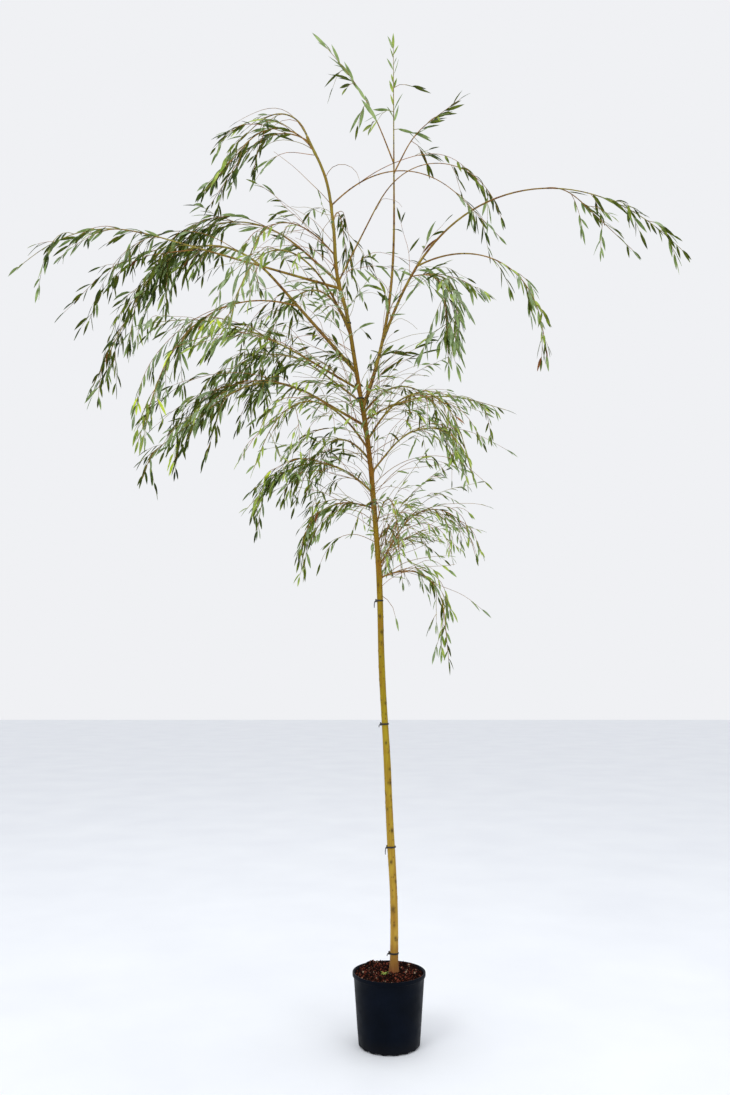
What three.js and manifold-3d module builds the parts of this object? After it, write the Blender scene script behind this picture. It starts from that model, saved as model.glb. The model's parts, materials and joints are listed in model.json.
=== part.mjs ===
// A young weeping willow in a nursery pot, as sold by a tree nursery.
//
// Units are millimetres and Z is up. The origin is the middle of the pot's flat underside.
// Headings are compass-like: 0 degrees points along +X, 90 along +Y, 180 along -X, 270 along -Y.
//
// The tree is a clear stem with a crown of arching limbs. Every limb follows one rule, arch():
// it leaves its parent at a rising angle and bends over to a falling one. A limb's lower share
// is a bare bough, a node of its own. Its outer share is the stem of a mass of foliage: side
// twigs that branch from it by a seeded rule, and leaves that hang from twigs and stem. Each
// leaf stands for a small spray. A mass starts TOUCHING_GAP clear of its bough or of the trunk.

import * as THREE from 'three';
import { mergeVertices } from 'three/addons/utils/BufferGeometryUtils.js';
import Module from 'manifold-3d';

const wasm = await Module();
wasm.setup();

const { degToRad, radToDeg, lerp, smoothstep } = THREE.MathUtils;

// ---------------------------------------------------------------- driving dimensions

const TOUCHING_GAP = 0.3;

const POT = {
  height: 292,
  rimRadius: 154.5,
  baseRadius: 129,
  wall: 3.5,
  floor: 5,
  lipHeight: 16,
  lipProud: 4,
  footRound: 9,
  sides: 28,
};

const SOIL = { top: 288, edgeTop: 280, flatRadius: 62, sides: 24 };

const TRUNK = {
  radius: 17,
  tipRadius: 6,
  flareRadius: 7,
  flareHeight: 70,
  sides: 9,
  steps: 24,
  // Sideways place of the trunk's axis at each height: a slight lean, then the leader's sweep.
  axis: [
    [288, 21], [620, 20], [1080, -3], [1640, -29], [2100, -46], [2480, -78], [2850, -129],
    [3180, -184], [3380, -232], [3640, -250], [3860, -287], [4080, -378],
  ],
};

const TIES = { heights: [800, 1320, 1860, 2300], height: 9, thickness: 2.2, sides: 10 };

// Each limb: the parent it grows on, how far up the parent (height on the trunk, length along a
// limb), its heading, its length with the leaf at its tip, the angles it rises and falls at, where
// along it the bend is centred (turn) and over what share it bends (spread), its girth at the foot,
// the share of it that is a bare bough, the share before which it bears no twigs (leafy) and how
// long its twigs are beside the longest. A limb with no bare share is a mass from its foot on.
const LIMBS = [
  { name: 'left_low', on: 'trunk', at: 2275, heading: 190, length: 570, rise: 18, fall: -76, girth: 8 },
  { name: 'left_second', on: 'trunk', at: 2345, heading: 172, length: 780, rise: 46, fall: -48,
    girth: 10, bare: 0.25 },
  { name: 'left_third', on: 'trunk', at: 2660, heading: 185, length: 1250, rise: 30, fall: -40,
    turn: 0.45, spread: 0.5, girth: 14, bare: 0.22, leafy: 0.3 },
  { name: 'left_fourth', on: 'trunk', at: 2830, heading: 200, length: 1100, rise: 25, fall: -30,
    turn: 0.8, spread: 1.1, girth: 12, bare: 0.25, leafy: 0.4 },
  { name: 'left_great', on: 'trunk', at: 2910, heading: 176, length: 2000, rise: 50, fall: -65,
    turn: 0.55, spread: 0.5, girth: 19, bare: 0.36, leafy: 0.46 },
  { name: 'left_under', on: 'left_great', at: 430, heading: 192, length: 1200, rise: 30, fall: -75,
    turn: 0.3, spread: 1.2, girth: 9, leafy: 0.2, twigs: 0.8 },
  { name: 'left_middle', on: 'trunk', at: 2770, heading: 160, length: 1150, rise: 40, fall: -50,
    turn: 0.6, spread: 0.8, girth: 10, leafy: 0.3 },
  { name: 'left_far', on: 'trunk', at: 3320, heading: 184, length: 1650, rise: 15, fall: -45,
    turn: 0.8, spread: 0.5, girth: 14, bare: 0.4, leafy: 0.52 },
  { name: 'left_high', on: 'trunk', at: 3350, heading: 170, length: 1300, rise: 45, fall: -60,
    turn: 0.6, spread: 0.9, girth: 12, bare: 0.4, leafy: 0.5 },
  { name: 'leader_side', on: 'trunk', at: 4000, heading: 196, length: 800, rise: 70, fall: -55,
    turn: 0.25, spread: 0.8, girth: 8, leafy: 0.15, twigs: 0.6 },
  { name: 'leader_back', on: 'trunk', at: 4050, heading: 164, length: 750, rise: 55, fall: -55,
    turn: 0.3, girth: 8, leafy: 0.15, twigs: 0.6 },
  { name: 'leader', on: 'trunk', at: 4073, heading: 180, length: 560, rise: 70, fall: -45,
    turn: 0.4, spread: 0.8, girth: 10, leafy: 0.3, twigs: 0.5 },

  { name: 'second_leader', on: 'trunk', at: 2740, heading: 0, length: 1900, rise: 67, fall: 90,
    turn: 0.2, spread: 0.8, girth: 20, bare: 0.71, leafy: 0.76, twigs: 0.3 },
  { name: 'top_left', on: 'second_leader', at: 1220, heading: 184, length: 750, rise: 70, fall: 50,
    turn: 0.6, girth: 8, leafy: 0.25, twigs: 0.3 },
  { name: 'top_right', on: 'second_leader', at: 1170, heading: 6, length: 600, rise: 65, fall: 40,
    turn: 0.5, spread: 0.6, girth: 8, leafy: 0.3, twigs: 0.4 },
  { name: 'right_great', on: 'second_leader', at: 330, heading: 2, length: 2000, rise: 70, fall: -55,
    turn: 0.6, spread: 1.2, girth: 15, bare: 0.64, leafy: 0.72, twigs: 0.45 },
  { name: 'right_drop', on: 'right_great', at: 1170, heading: 20, length: 650, rise: 20, fall: -35,
    turn: 0.2, spread: 0.5, girth: 6, leafy: 0.2, twigs: 0.5 },
  { name: 'right_middle', on: 'right_great', at: 410, heading: 346, length: 1000, rise: 35, fall: -85,
    turn: 0.4, spread: 1.3, girth: 9, bare: 0.3, leafy: 0.36, twigs: 0.45 },
  { name: 'right_inner', on: 'right_great', at: 350, heading: 322, length: 660, rise: -4, fall: -88,
    turn: 0.3, spread: 0.6, girth: 6 },
  { name: 'right_fourth', on: 'trunk', at: 2685, heading: 354, length: 750, rise: 35, fall: -20,
    turn: 0.45, spread: 1.2, girth: 10, bare: 0.25, leafy: 0.45, twigs: 0.55 },
  { name: 'right_third', on: 'trunk', at: 2440, heading: 346, length: 750, rise: 50, fall: -75,
    turn: 0.6, spread: 0.9, girth: 10, bare: 0.25, leafy: 0.4, twigs: 0.7 },
  { name: 'right_second', on: 'trunk', at: 2010, heading: 14, length: 800, rise: 60, fall: -80,
    turn: 0.65, spread: 0.9, girth: 9, leafy: 0.2, twigs: 0.8 },
  { name: 'right_low', on: 'trunk', at: 1960, heading: 336, length: 700, rise: 20, fall: -85,
    turn: 0.4, spread: 0.8, girth: 8, leafy: 0.25, twigs: 0.7 },
  { name: 'arch_outer', on: 'trunk', at: 3350, heading: 8, length: 1350, rise: 65, fall: -90,
    turn: 0.75, spread: 0.9, girth: 9, bare: 0.45, leafy: 0.7, twigs: 0.4 },
  { name: 'arch_inner', on: 'trunk', at: 3730, heading: 352, length: 1050, rise: 45, fall: -50,
    turn: 0.4, spread: 0.9, girth: 8, leafy: 0.66, twigs: 0.5 },

  { name: 'front_low', on: 'trunk', at: 2190, heading: 284, length: 640, rise: 44, fall: -78,
    girth: 8 },
  { name: 'front_left', on: 'trunk', at: 2550, heading: 228, length: 980, rise: 40, fall: -66,
    girth: 11, bare: 0.25, leafy: 0.3 },
  { name: 'front_right', on: 'trunk', at: 2590, heading: 312, length: 920, rise: 44, fall: -70,
    girth: 11, bare: 0.25, leafy: 0.35 },
  { name: 'front_high', on: 'trunk', at: 3090, heading: 236, length: 1240, rise: 48, fall: -72,
    girth: 12, bare: 0.3, leafy: 0.36 },
  { name: 'front_top', on: 'trunk', at: 3480, heading: 216, length: 760, rise: 36, fall: -76,
    girth: 8, leafy: 0.25 },
  { name: 'back_low', on: 'trunk', at: 2110, heading: 70, length: 620, rise: 48, fall: -74, girth: 8 },
  { name: 'back_left', on: 'trunk', at: 2500, heading: 128, length: 860, rise: 44, fall: -60,
    girth: 11, bare: 0.25, leafy: 0.3 },
  { name: 'back_right', on: 'trunk', at: 2720, heading: 44, length: 1000, rise: 48, fall: -64,
    girth: 12, bare: 0.25, leafy: 0.35 },
  { name: 'back_high', on: 'trunk', at: 3140, heading: 128, length: 1240, rise: 56, fall: -66,
    girth: 12, bare: 0.3, leafy: 0.36 },
  { name: 'back_top', on: 'trunk', at: 3650, heading: 84, length: 900, rise: 46, fall: -74,
    girth: 8, leafy: 0.3 },
];

const LIMB = { tipRadius: 2.6, curveSteps: 24, boughSides: 5, stemSides: 3, ringEvery: 140 };

// Side twigs: their spacing along a stem, their length near its foot and near its tip, the angle
// they hang towards, and how far from the stem the mass's own space reaches.
const TWIG = {
  every: 112, firstAt: 50, length: 255, lengthAtTip: 150, hang: -85, reach: 340,
  radius: 2.8, tipRadius: 1.7, rootShare: 0.48, steps: 3, sides: 3,
};

const BRANCHING = { narrowest: 24, widest: 58, roll: 40 };

// Leaves: where along each straight piece of twig they may stand, the chance that one does, and
// how many pieces from the foot the first may be.
const LEAF = {
  length: 132, width: 23, thickness: 4, widestAt: 0.42, tipRadius: 0.4, splay: 36,
  places: [0.25, 0.75], chance: 0.5, first: 0.5,
};

const CLEARANCE = 1.2;

const SEED = 4711;

// ---------------------------------------------------------------- solids

function toSolid(geometry) {
  geometry.deleteAttribute('normal');
  geometry.deleteAttribute('uv');
  const merged = mergeVertices(geometry);
  return new wasm.Manifold(new wasm.Mesh({
    numProp: 3,
    vertProperties: new Float32Array(merged.attributes.position.array),
    triVerts: new Uint32Array(merged.index.array),
  }));
}

function toGeometry(solid) {
  const { vertProperties, triVerts } = solid.getMesh();
  const geometry = new THREE.BufferGeometry();
  geometry.setAttribute('position', new THREE.BufferAttribute(new Float32Array(vertProperties), 3));
  geometry.setIndex(new THREE.BufferAttribute(new Uint32Array(triVerts), 1));
  geometry.computeVertexNormals();
  return geometry;
}

// The main body of a solid: loose scraps and sealed hollows are left behind.
function mainBody(solid) {
  const bodies = solid.decompose();
  return bodies.reduce((largest, body) => (body.volume() > largest.volume() ? body : largest));
}

// ---------------------------------------------------------------- limbs and twigs

// A repeatable random number generator, from 0 to 1.
function seeded(seed) {
  let state = seed;
  return () => {
    state = (state * 1664525 + 1013904223) % 4294967296;
    return state / 4294967296;
  };
}

function direction(heading, elevation) {
  const [turn, tilt] = [degToRad(heading), degToRad(elevation)];
  return new THREE.Vector3(Math.cos(turn) * Math.cos(tilt), Math.sin(turn) * Math.cos(tilt), Math.sin(tilt));
}

// The curve of a limb or twig: it rises, bends over round `turn` and ends falling.
function arch(start, { heading, length, rise, fall, turn = 0.5, spread = 1 }, steps) {
  const points = [start.clone()];
  for (let i = 0; i < steps; i++) {
    const bent = smoothstep((i + 0.5) / steps, turn - spread / 2, turn + spread / 2);
    const step = direction(heading, lerp(rise, fall, bent)).multiplyScalar(length / steps);
    points.push(points.at(-1).clone().add(step));
  }
  return new THREE.CatmullRomCurve3(points, false, 'centripetal');
}

// A shoot is the tapering tube of wood between two shares of a curve. It is made of rings square
// to the curve. Its chords are the straight pieces between them, where its material really is.
function makeShoot(curve, from, to, steps, radiusAt, sides) {
  const rings = [];
  let side = new THREE.Vector3(0, 0, 1).cross(curve.getTangentAt(from));
  if (side.lengthSq() < 0.001) side.set(0, 1, 0);
  for (let i = 0; i <= steps; i++) {
    const share = lerp(from, to, i / steps);
    const along = curve.getTangentAt(share);
    side = side.clone().addScaledVector(along, -side.dot(along)).normalize();
    const across = side.clone().cross(along);
    rings.push({ centre: curve.getPointAt(share), along, side, across, radius: radiusAt(share) });
  }
  const chords = rings.slice(1).map((ring, i) => new THREE.Line3(rings[i].centre, ring.centre));
  return { curve, from, to, steps, radiusAt, sides, rings, chords };
}

function pointOn({ from, to, steps, chords }, share) {
  const ring = steps * (share - from) / (to - from);
  const chord = Math.min(steps - 1, Math.floor(ring));
  return chords[chord].at(ring - chord, new THREE.Vector3());
}

// The solid of a row of rings: a cylinder bent along them, closed by flat ends. A ring may be wider
// sideways than it is thick.
function ringSolid(rings, sides) {
  const steps = rings.length - 1;
  const geometry = new THREE.CylinderGeometry(1, 1, 1, sides, steps);
  const position = geometry.attributes.position;
  for (let i = 0; i < position.count; i++) {
    const ring = rings[Math.round((position.getY(i) + 0.5) * steps)];
    const { centre, side, across, radius, wide = radius } = ring;
    const point = centre.clone()
      .addScaledVector(side, position.getX(i) * wide)
      .addScaledVector(across, position.getZ(i) * radius);
    position.setXYZ(i, point.x, point.y, point.z);
  }
  return toSolid(geometry);
}

// A bough or trunk ends square. A grown one is larger by `grow` on every side and at its end.
function woodSolid({ rings, sides }, grow = 0) {
  const larger = rings.map((ring) => ({ ...ring, centre: ring.centre.clone(), radius: ring.radius + grow }));
  const last = larger.at(-1);
  last.centre.addScaledVector(last.along, grow);
  return ringSolid(larger, sides);
}

// A three-sided shoot flattens at its end into a keeled leaf.
function leafyShootSolid({ rings, sides }) {
  const last = rings.at(-1);
  const beyond = (share) => last.centre.clone().addScaledVector(last.along, share * LEAF.length);
  const waist = { radius: LEAF.thickness / 1.5, wide: LEAF.width / Math.sqrt(3) };
  const end = { radius: LEAF.tipRadius };
  return ringSolid([
    ...rings, { ...last, ...waist, centre: beyond(LEAF.widestAt) }, { ...last, ...end, centre: beyond(1) },
  ], sides);
}

// A shoot's solid grown by TOUCHING_GAP on every side, to cut what meets it.
function cutterOf(shoot) {
  return woodSolid(shoot, TOUCHING_GAP / Math.cos(Math.PI / shoot.sides) + 0.02);
}

function trunkCurve() {
  const points = TRUNK.axis.map(([z, x]) => new THREE.Vector3(x, 0, z));
  return new THREE.CatmullRomCurve3(points, false, 'centripetal');
}

function trunkRadius(share, curve) {
  const height = curve.getPointAt(share).z - SOIL.top;
  const flare = TRUNK.flareRadius * Math.exp(-3 * height / TRUNK.flareHeight);
  return lerp(TRUNK.radius, TRUNK.tipRadius, share ** 1.15) + flare;
}

// The share of a curve's length at which it reaches a height.
function shareAtHeight(curve, height) {
  let [low, high] = [0, 1];
  for (let i = 0; i < 30; i++) {
    const middle = (low + high) / 2;
    if (curve.getPointAt(middle).z < height) low = middle;
    else high = middle;
  }
  return low;
}

function growTrunk() {
  const curve = trunkCurve();
  return makeShoot(curve, 0, 1, TRUNK.steps, (share) => trunkRadius(share, curve), TRUNK.sides);
}

// A limb: its bare bough, if it has one, and beyond that the stem of its mass.
function growLimb(limb, parent) {
  const onTrunk = limb.on === 'trunk';
  const share = onTrunk ? shareAtHeight(parent.curve, limb.at) : limb.at / parent.curve.getLength();
  const length = limb.length - LEAF.length;
  const curve = arch(pointOn(parent, share), { ...limb, length }, LIMB.curveSteps);
  const radiusAt = (along) => lerp(limb.girth / 2, LIMB.tipRadius, along);
  const bare = limb.bare ?? 0;
  const stemFrom = bare > 0 ? bare + TOUCHING_GAP / length : 0;
  const rings = (part) => Math.max(2, Math.round(part * length / LIMB.ringEvery));
  return {
    parent,
    bough: bare > 0 ? makeShoot(curve, 0, bare, rings(bare), radiusAt, LIMB.boughSides) : null,
    stem: makeShoot(curve, stemFrom, 1, rings(1 - bare), radiusAt, LIMB.stemSides),
  };
}

// ---------------------------------------------------------------- keeping clear

// Everything grown so far, as capsules: a twig or leaf that would touch another is skipped.
const grown = [];

function claimSpace(shoot, owner) {
  shoot.chords.forEach((line, i) => {
    const radius = shoot.radiusAt(lerp(shoot.from, shoot.to, i / shoot.steps));
    grown.push({ line, radius, owner });
  });
}

function isClear(line, radius, owner) {
  const outer = new THREE.Line3(line.at(0.4, new THREE.Vector3()), line.end);
  const [near, far] = [new THREE.Vector3(), new THREE.Vector3()];
  return grown.every((other) => {
    const own = other.owner === owner;
    const least = own ? 0.8 * (radius + other.radius) : radius + other.radius + CLEARANCE;
    return (own ? outer : line).distanceSqToLine3(other.line, near, far) > least ** 2;
  });
}

// ---------------------------------------------------------------- foliage

// A leaf is a keeled blade of six faces, pointed at both ends.
function leafSolid(base, heading, roll, size) {
  const across = new THREE.Vector3(0, 0, 1).cross(heading);
  if (across.lengthSq() < 0.01) across.set(1, 0, 0);
  across.addScaledVector(heading, -across.dot(heading)).normalize().applyAxisAngle(heading, roll);
  const keel = across.clone().cross(heading).multiplyScalar(LEAF.thickness);
  const edge = across.multiplyScalar(LEAF.width * size / 2);
  const waist = base.clone().addScaledVector(heading, LEAF.widestAt * LEAF.length * size);
  const tip = base.clone().addScaledVector(heading, LEAF.length * size);
  const points = [base, waist.clone().add(edge), waist.clone().sub(edge), waist.clone().add(keel), tip];
  const geometry = new THREE.BufferGeometry().setFromPoints(points);
  geometry.setIndex([0, 2, 1, 0, 1, 3, 0, 3, 2, 4, 1, 2, 4, 3, 1, 4, 2, 3]);
  return toSolid(geometry);
}

// A direction that leaves a stem at an angle, to one side of it, with the side turned by chance.
function branchOff(tangent, angle, side, random) {
  const across = new THREE.Vector3(0, 0, 1).cross(tangent);
  if (across.lengthSq() < 0.01) across.set(1, 0, 0);
  across.addScaledVector(tangent, -across.dot(tangent)).normalize();
  across.applyAxisAngle(tangent, degToRad(lerp(-BRANCHING.roll, BRANCHING.roll, random())));
  return tangent.clone().multiplyScalar(Math.cos(degToRad(angle)))
    .addScaledVector(across, side * Math.sin(degToRad(angle)));
}

// Leaves along a shoot, left and right in turn. Each leaves through the middle of a side face of
// the three-sided shoot, where it fuses cleanly.
function addLeaves(mass, shoot, leafy, random) {
  let side = random() < 0.5 ? 1 : -1;
  shoot.chords.forEach((chord, i) => {
    const { along, side: sideways, across } = shoot.rings[i];
    for (const place of LEAF.places) {
      const taken = random() < LEAF.chance;
      const splay = degToRad(LEAF.splay * lerp(0.75, 1.2, random()));
      const droop = lerp(0.02, 0.2, random());
      const [roll, size] = [lerp(-0.9, 0.9, random()), lerp(0.85, 1.12, random())];
      const facing = across.clone().multiplyScalar(0.5).addScaledVector(sideways, side * Math.sqrt(0.75));
      side = -side;
      const share = lerp(shoot.from, shoot.to, (i + place) / shoot.steps);
      if (!taken || i + place < LEAF.first || share < leafy) continue;
      const heading = along.clone().multiplyScalar(Math.cos(splay)).addScaledVector(facing, Math.sin(splay));
      heading.z -= droop;
      addLeaf(mass, chord.at(place, new THREE.Vector3()), heading.normalize(), roll, size);
    }
  });
}

function addLeaf(mass, base, heading, roll, size) {
  const line = new THREE.Line3(base, base.clone().addScaledVector(heading, LEAF.length * size));
  const radius = LEAF.width * size / 2;
  if (!inSpace(mass, line.end) || !isClear(line, radius, mass.name)) return;
  grown.push({ line, radius, owner: mass.name });
  mass.solids.push(leafSolid(base, heading, roll, size));
}

// A mass's own space is what lies within TWIG.reach of its stem.
function inSpace(mass, point) {
  const nearest = new THREE.Vector3();
  return mass.stem.chords.some((line) => (
    line.closestPointToPoint(point, true, nearest).distanceTo(point) < TWIG.reach
  ));
}

// Side twigs along the leafy part of the stem, left and right in turn, each bending over to hang.
function addTwigs(mass, random) {
  const { curve } = mass.stem;
  const length = curve.getLength();
  const first = mass.leafy * length + TWIG.firstAt;
  let side = random() < 0.5 ? 1 : -1;
  for (let along = first; along < length - TWIG.firstAt; along += TWIG.every * lerp(0.8, 1.2, random())) {
    const share = along / length;
    const angle = lerp(BRANCHING.narrowest, BRANCHING.widest, random());
    const away = branchOff(curve.getTangentAt(share), angle, side, random);
    const rise = radToDeg(Math.asin(away.z));
    const twigCurve = arch(pointOn(mass.stem, share), {
      heading: radToDeg(Math.atan2(away.y, away.x)),
      length: mass.twigScale * lerp(TWIG.length, TWIG.lengthAtTip, share) * lerp(0.75, 1.2, random()),
      rise,
      fall: lerp(rise, TWIG.hang, lerp(0.4, 0.85, random())),
    }, TWIG.steps * 2);
    const rootRadius = TWIG.rootShare * mass.stem.radiusAt(share);
    const radiusAt = (s) => (s === 0 ? rootRadius : lerp(TWIG.radius, TWIG.tipRadius, s));
    const twig = makeShoot(twigCurve, 0, 1, TWIG.steps, radiusAt, TWIG.sides);
    side = -side;
    if (!twigFits(mass, twig)) continue;
    mass.solids.push(leafyShootSolid(twig));
    claimSpace(twig, mass.name);
    grown.push({ line: tipLeafLine(twig), radius: LEAF.width / 2, owner: mass.name });
    mass.twigs.push(twig);
  }
}

function tipLeafLine({ rings }) {
  const { centre, along } = rings.at(-1);
  return new THREE.Line3(centre, centre.clone().addScaledVector(along, LEAF.length));
}

function twigFits(mass, twig) {
  return twig.chords.every((line) => inSpace(mass, line.end) && isClear(line, TWIG.radius, mass.name))
    && isClear(tipLeafLine(twig), LEAF.width / 2, mass.name);
}

function growMass(name, { stem, parent }, { leafy = 0, twigs = 1 }, seed) {
  const random = seeded(seed);
  const whole = leafyShootSolid(stem);
  const stemSolid = stem.from > 0 ? whole : mainBody(whole.subtract(cutterOf(parent)));
  const mass = {
    name, stem, leafy: Math.max(stem.from, leafy), twigScale: twigs, twigs: [], solids: [stemSolid],
  };
  addTwigs(mass, random);
  mass.twigs.forEach((twig) => addLeaves(mass, twig, 0, random));
  addLeaves(mass, stem, mass.leafy, random);
  return mainBody(wasm.Manifold.union(mass.solids));
}

// ---------------------------------------------------------------- pot, soil and ties

function potGeometry() {
  const { height, rimRadius, baseRadius, wall, floor, lipHeight, lipProud, footRound, sides } = POT;
  const slope = (rimRadius - lipProud - baseRadius) / height;
  const outer = (z) => baseRadius + slope * z;
  const profile = [
    [0, 0], [baseRadius - footRound, 0], [baseRadius - 2, 3], [outer(footRound), footRound],
    [outer(height - lipHeight), height - lipHeight], [rimRadius, height - lipHeight + 2],
    [rimRadius, height - 2], [rimRadius - 2, height], [outer(height) - wall, height],
    [outer(floor) - wall, floor], [0, floor],
  ];
  const points = profile.map(([radius, z]) => new THREE.Vector2(radius, z));
  return new THREE.LatheGeometry(points, sides).rotateX(Math.PI / 2);
}

// The compost fills the pot to just under its rim, flat in the middle where the trunk stands.
function soilGeometry() {
  const { height, rimRadius, baseRadius, wall, floor, lipProud } = POT;
  const slope = (rimRadius - lipProud - baseRadius) / height;
  const fit = (z) => (baseRadius + slope * z - wall - TOUCHING_GAP) * Math.cos(Math.PI / POT.sides);
  const bottom = floor + TOUCHING_GAP;
  const profile = [
    [0, bottom], [fit(bottom), bottom], [fit(SOIL.edgeTop), SOIL.edgeTop],
    [SOIL.flatRadius, SOIL.top - TOUCHING_GAP], [0, SOIL.top - TOUCHING_GAP],
  ];
  const points = profile.map(([radius, z]) => new THREE.Vector2(radius, z));
  return new THREE.LatheGeometry(points, SOIL.sides).rotateX(Math.PI / 2);
}

function tieGeometry(trunk, height) {
  const share = shareAtHeight(trunk.curve, height);
  const inner = (trunk.radiusAt(share) + TOUCHING_GAP) / Math.cos(Math.PI / TIES.sides) + 0.6;
  const outer = inner + TIES.thickness;
  const half = TIES.height / 2;
  const profile = [[inner, -half], [outer, -half], [outer, half], [inner, half], [inner, -half]];
  const points = profile.map(([radius, z]) => new THREE.Vector2(radius, z));
  const geometry = new THREE.LatheGeometry(points, TIES.sides).rotateX(Math.PI / 2);
  const upright = new THREE.Vector3(0, 0, 1);
  const lean = new THREE.Quaternion().setFromUnitVectors(upright, trunk.curve.getTangentAt(share));
  geometry.applyQuaternion(lean);
  const centre = trunk.curve.getPointAt(share);
  return geometry.translate(centre.x, centre.y, centre.z);
}

// ---------------------------------------------------------------- materials

const finish = (color, roughness) => new THREE.MeshStandardMaterial({ color, roughness, metalness: 0 });
const potPlastic = () => finish(0x15181c, 0.45);
const compost = () => finish(0x3a241a, 0.95);
const bark = () => finish(0xb08a3c, 0.7);
const boughBark = () => finish(0x9a8a3a, 0.65);
const foliage = () => finish(0x5d7a3c, 0.6);
const tieRubber = () => finish(0x1a1a1a, 0.6);

// ---------------------------------------------------------------- the plant

const plant = new THREE.Group();

function addNode(name, geometry, material) {
  const mesh = new THREE.Mesh(geometry, material);
  mesh.name = name;
  plant.add(mesh);
}

addNode('pot', potGeometry(), potPlastic());
addNode('soil', soilGeometry(), compost());

const trunk = growTrunk();
addNode('trunk', toGeometry(woodSolid(trunk)), bark());
claimSpace(trunk, 'trunk');

TIES.heights.forEach((height, i) => addNode(`tie_${i + 1}`, tieGeometry(trunk, height), tieRubber()));

const limbs = new Map();
for (const limb of LIMBS) {
  const parent = limb.on === 'trunk' ? trunk : limbs.get(limb.on).bough;
  const { bough, stem } = growLimb(limb, parent);
  limbs.set(limb.name, { bough, stem, parent });
  claimSpace(stem, `mass_${limb.name}`);
  grown.push({ line: tipLeafLine(stem), radius: LEAF.width / 2, owner: `mass_${limb.name}` });
  if (!bough) continue;
  claimSpace(bough, `bough_${limb.name}`);
  const boughSolid = mainBody(woodSolid(bough).subtract(cutterOf(parent)));
  addNode(`bough_${limb.name}`, toGeometry(boughSolid), boughBark());
}

LIMBS.forEach((limb, i) => {
  const name = `mass_${limb.name}`;
  addNode(name, toGeometry(growMass(name, limbs.get(limb.name), limb, SEED + i)), foliage());
});

export default plant;
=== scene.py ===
"""A young weeping willow in a nursery pot: its bark, foliage, pot and compost.

Metres, Z up, origin in the middle of the pot's underside. Headings are in degrees, from +X at 0
to +Y at 90, -X at 180 and -Y at 270.

The wood and leaves grow by the same rule as the solids: arch() bends every limb, the side twigs
leave each limb's stem at the same places and angles, and finer shoots and leaves of life size
then grow on from those, within the same reach of the stem.
"""

import json
import math

import bpy
import numpy as np
from mathutils import Euler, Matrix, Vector

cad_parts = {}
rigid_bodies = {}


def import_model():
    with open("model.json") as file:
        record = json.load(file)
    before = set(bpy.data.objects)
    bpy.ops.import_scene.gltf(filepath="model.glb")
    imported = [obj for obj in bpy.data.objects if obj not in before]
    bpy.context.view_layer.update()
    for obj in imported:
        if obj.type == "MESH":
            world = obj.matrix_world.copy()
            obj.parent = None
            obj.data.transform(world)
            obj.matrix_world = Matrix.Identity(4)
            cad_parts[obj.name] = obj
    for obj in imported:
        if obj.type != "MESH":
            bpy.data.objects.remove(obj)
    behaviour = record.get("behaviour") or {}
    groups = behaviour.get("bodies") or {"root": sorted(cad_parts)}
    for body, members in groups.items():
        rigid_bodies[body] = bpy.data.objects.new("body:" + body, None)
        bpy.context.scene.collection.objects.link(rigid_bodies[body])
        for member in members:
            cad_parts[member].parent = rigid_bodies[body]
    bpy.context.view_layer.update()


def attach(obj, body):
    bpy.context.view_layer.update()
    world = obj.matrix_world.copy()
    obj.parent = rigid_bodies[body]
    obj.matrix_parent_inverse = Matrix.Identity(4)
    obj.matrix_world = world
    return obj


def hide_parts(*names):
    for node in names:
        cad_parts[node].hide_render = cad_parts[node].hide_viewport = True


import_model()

MM = 0.001
UP = np.array([0.0, 0.0, 1.0])

# ---------------------------------------------------------------- sizes, in millimetres

POT = {
    "height": 292, "rim_radius": 154.5, "base_radius": 129, "wall": 3.5, "floor": 5,
    "lip_height": 16, "lip_proud": 4, "foot_round": 9, "sides": 144,
}

# The foot's scallops: how many, how far up they reach and are cut, and what they draw in and how
# far the wall is out of round, as shares of the radius.
SCALLOPS = {"count": 16, "reach": 16, "cut": 4, "drawn_in": 0.02, "out_of_round": 0.0016}

# The compost: its top round the stem and at the edge, its underside, its banks against the back of
# the rim (height, then angle and width in radians) and its waves (height, waves and phase).
SOIL = {
    "top": 288, "edge_top": 280, "flat_radius": 62, "under": 7.5, "grain": 1.1,
    "sides": 120, "circles": 44,
    "banks": [(20, 2.1, 0.5), (15, 0.9, 0.35)],
    "waves": [(3.0, 42, 0.4), (2.0, 95, 1.9), (1.2, 210, 3.1), (0.8, 430, 4.4)],
}
CRUMBS = {
    "count": 2600, "sizes": [1.8, 2.6, 4, 6], "size_shares": [0.3, 0.35, 0.25, 0.1],
    "tone_shares": [0.66, 0.3, 0.04], "from_wall": 4, "proud": 0.35,
}
SEEDLING = {"x": -18, "y": -36, "above": 2, "leaves": 9, "size": (16, 25)}

# The trunk's girth, its slow wander, the ripple and swell of its surface, as shares of its radius,
# and the collars under its limbs.
TRUNK = {
    "radius": 17, "tip_radius": 6, "flare_radius": 7, "flare_height": 70, "sides": 28,
    "rings": 900, "wander": 1.6, "wander_waves": 34, "ripple": 0.012, "swell": 0.045,
    "collar": 2.2, "collar_height": 16, "collar_width": 0.9,
}
TRUNK_AXIS = [
    (288, 21), (620, 20), (1080, -3), (1640, -29), (2100, -46), (2480, -78), (2850, -129),
    (3180, -184), (3380, -232), (3640, -250), (3860, -287), (4080, -378),
]

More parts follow.
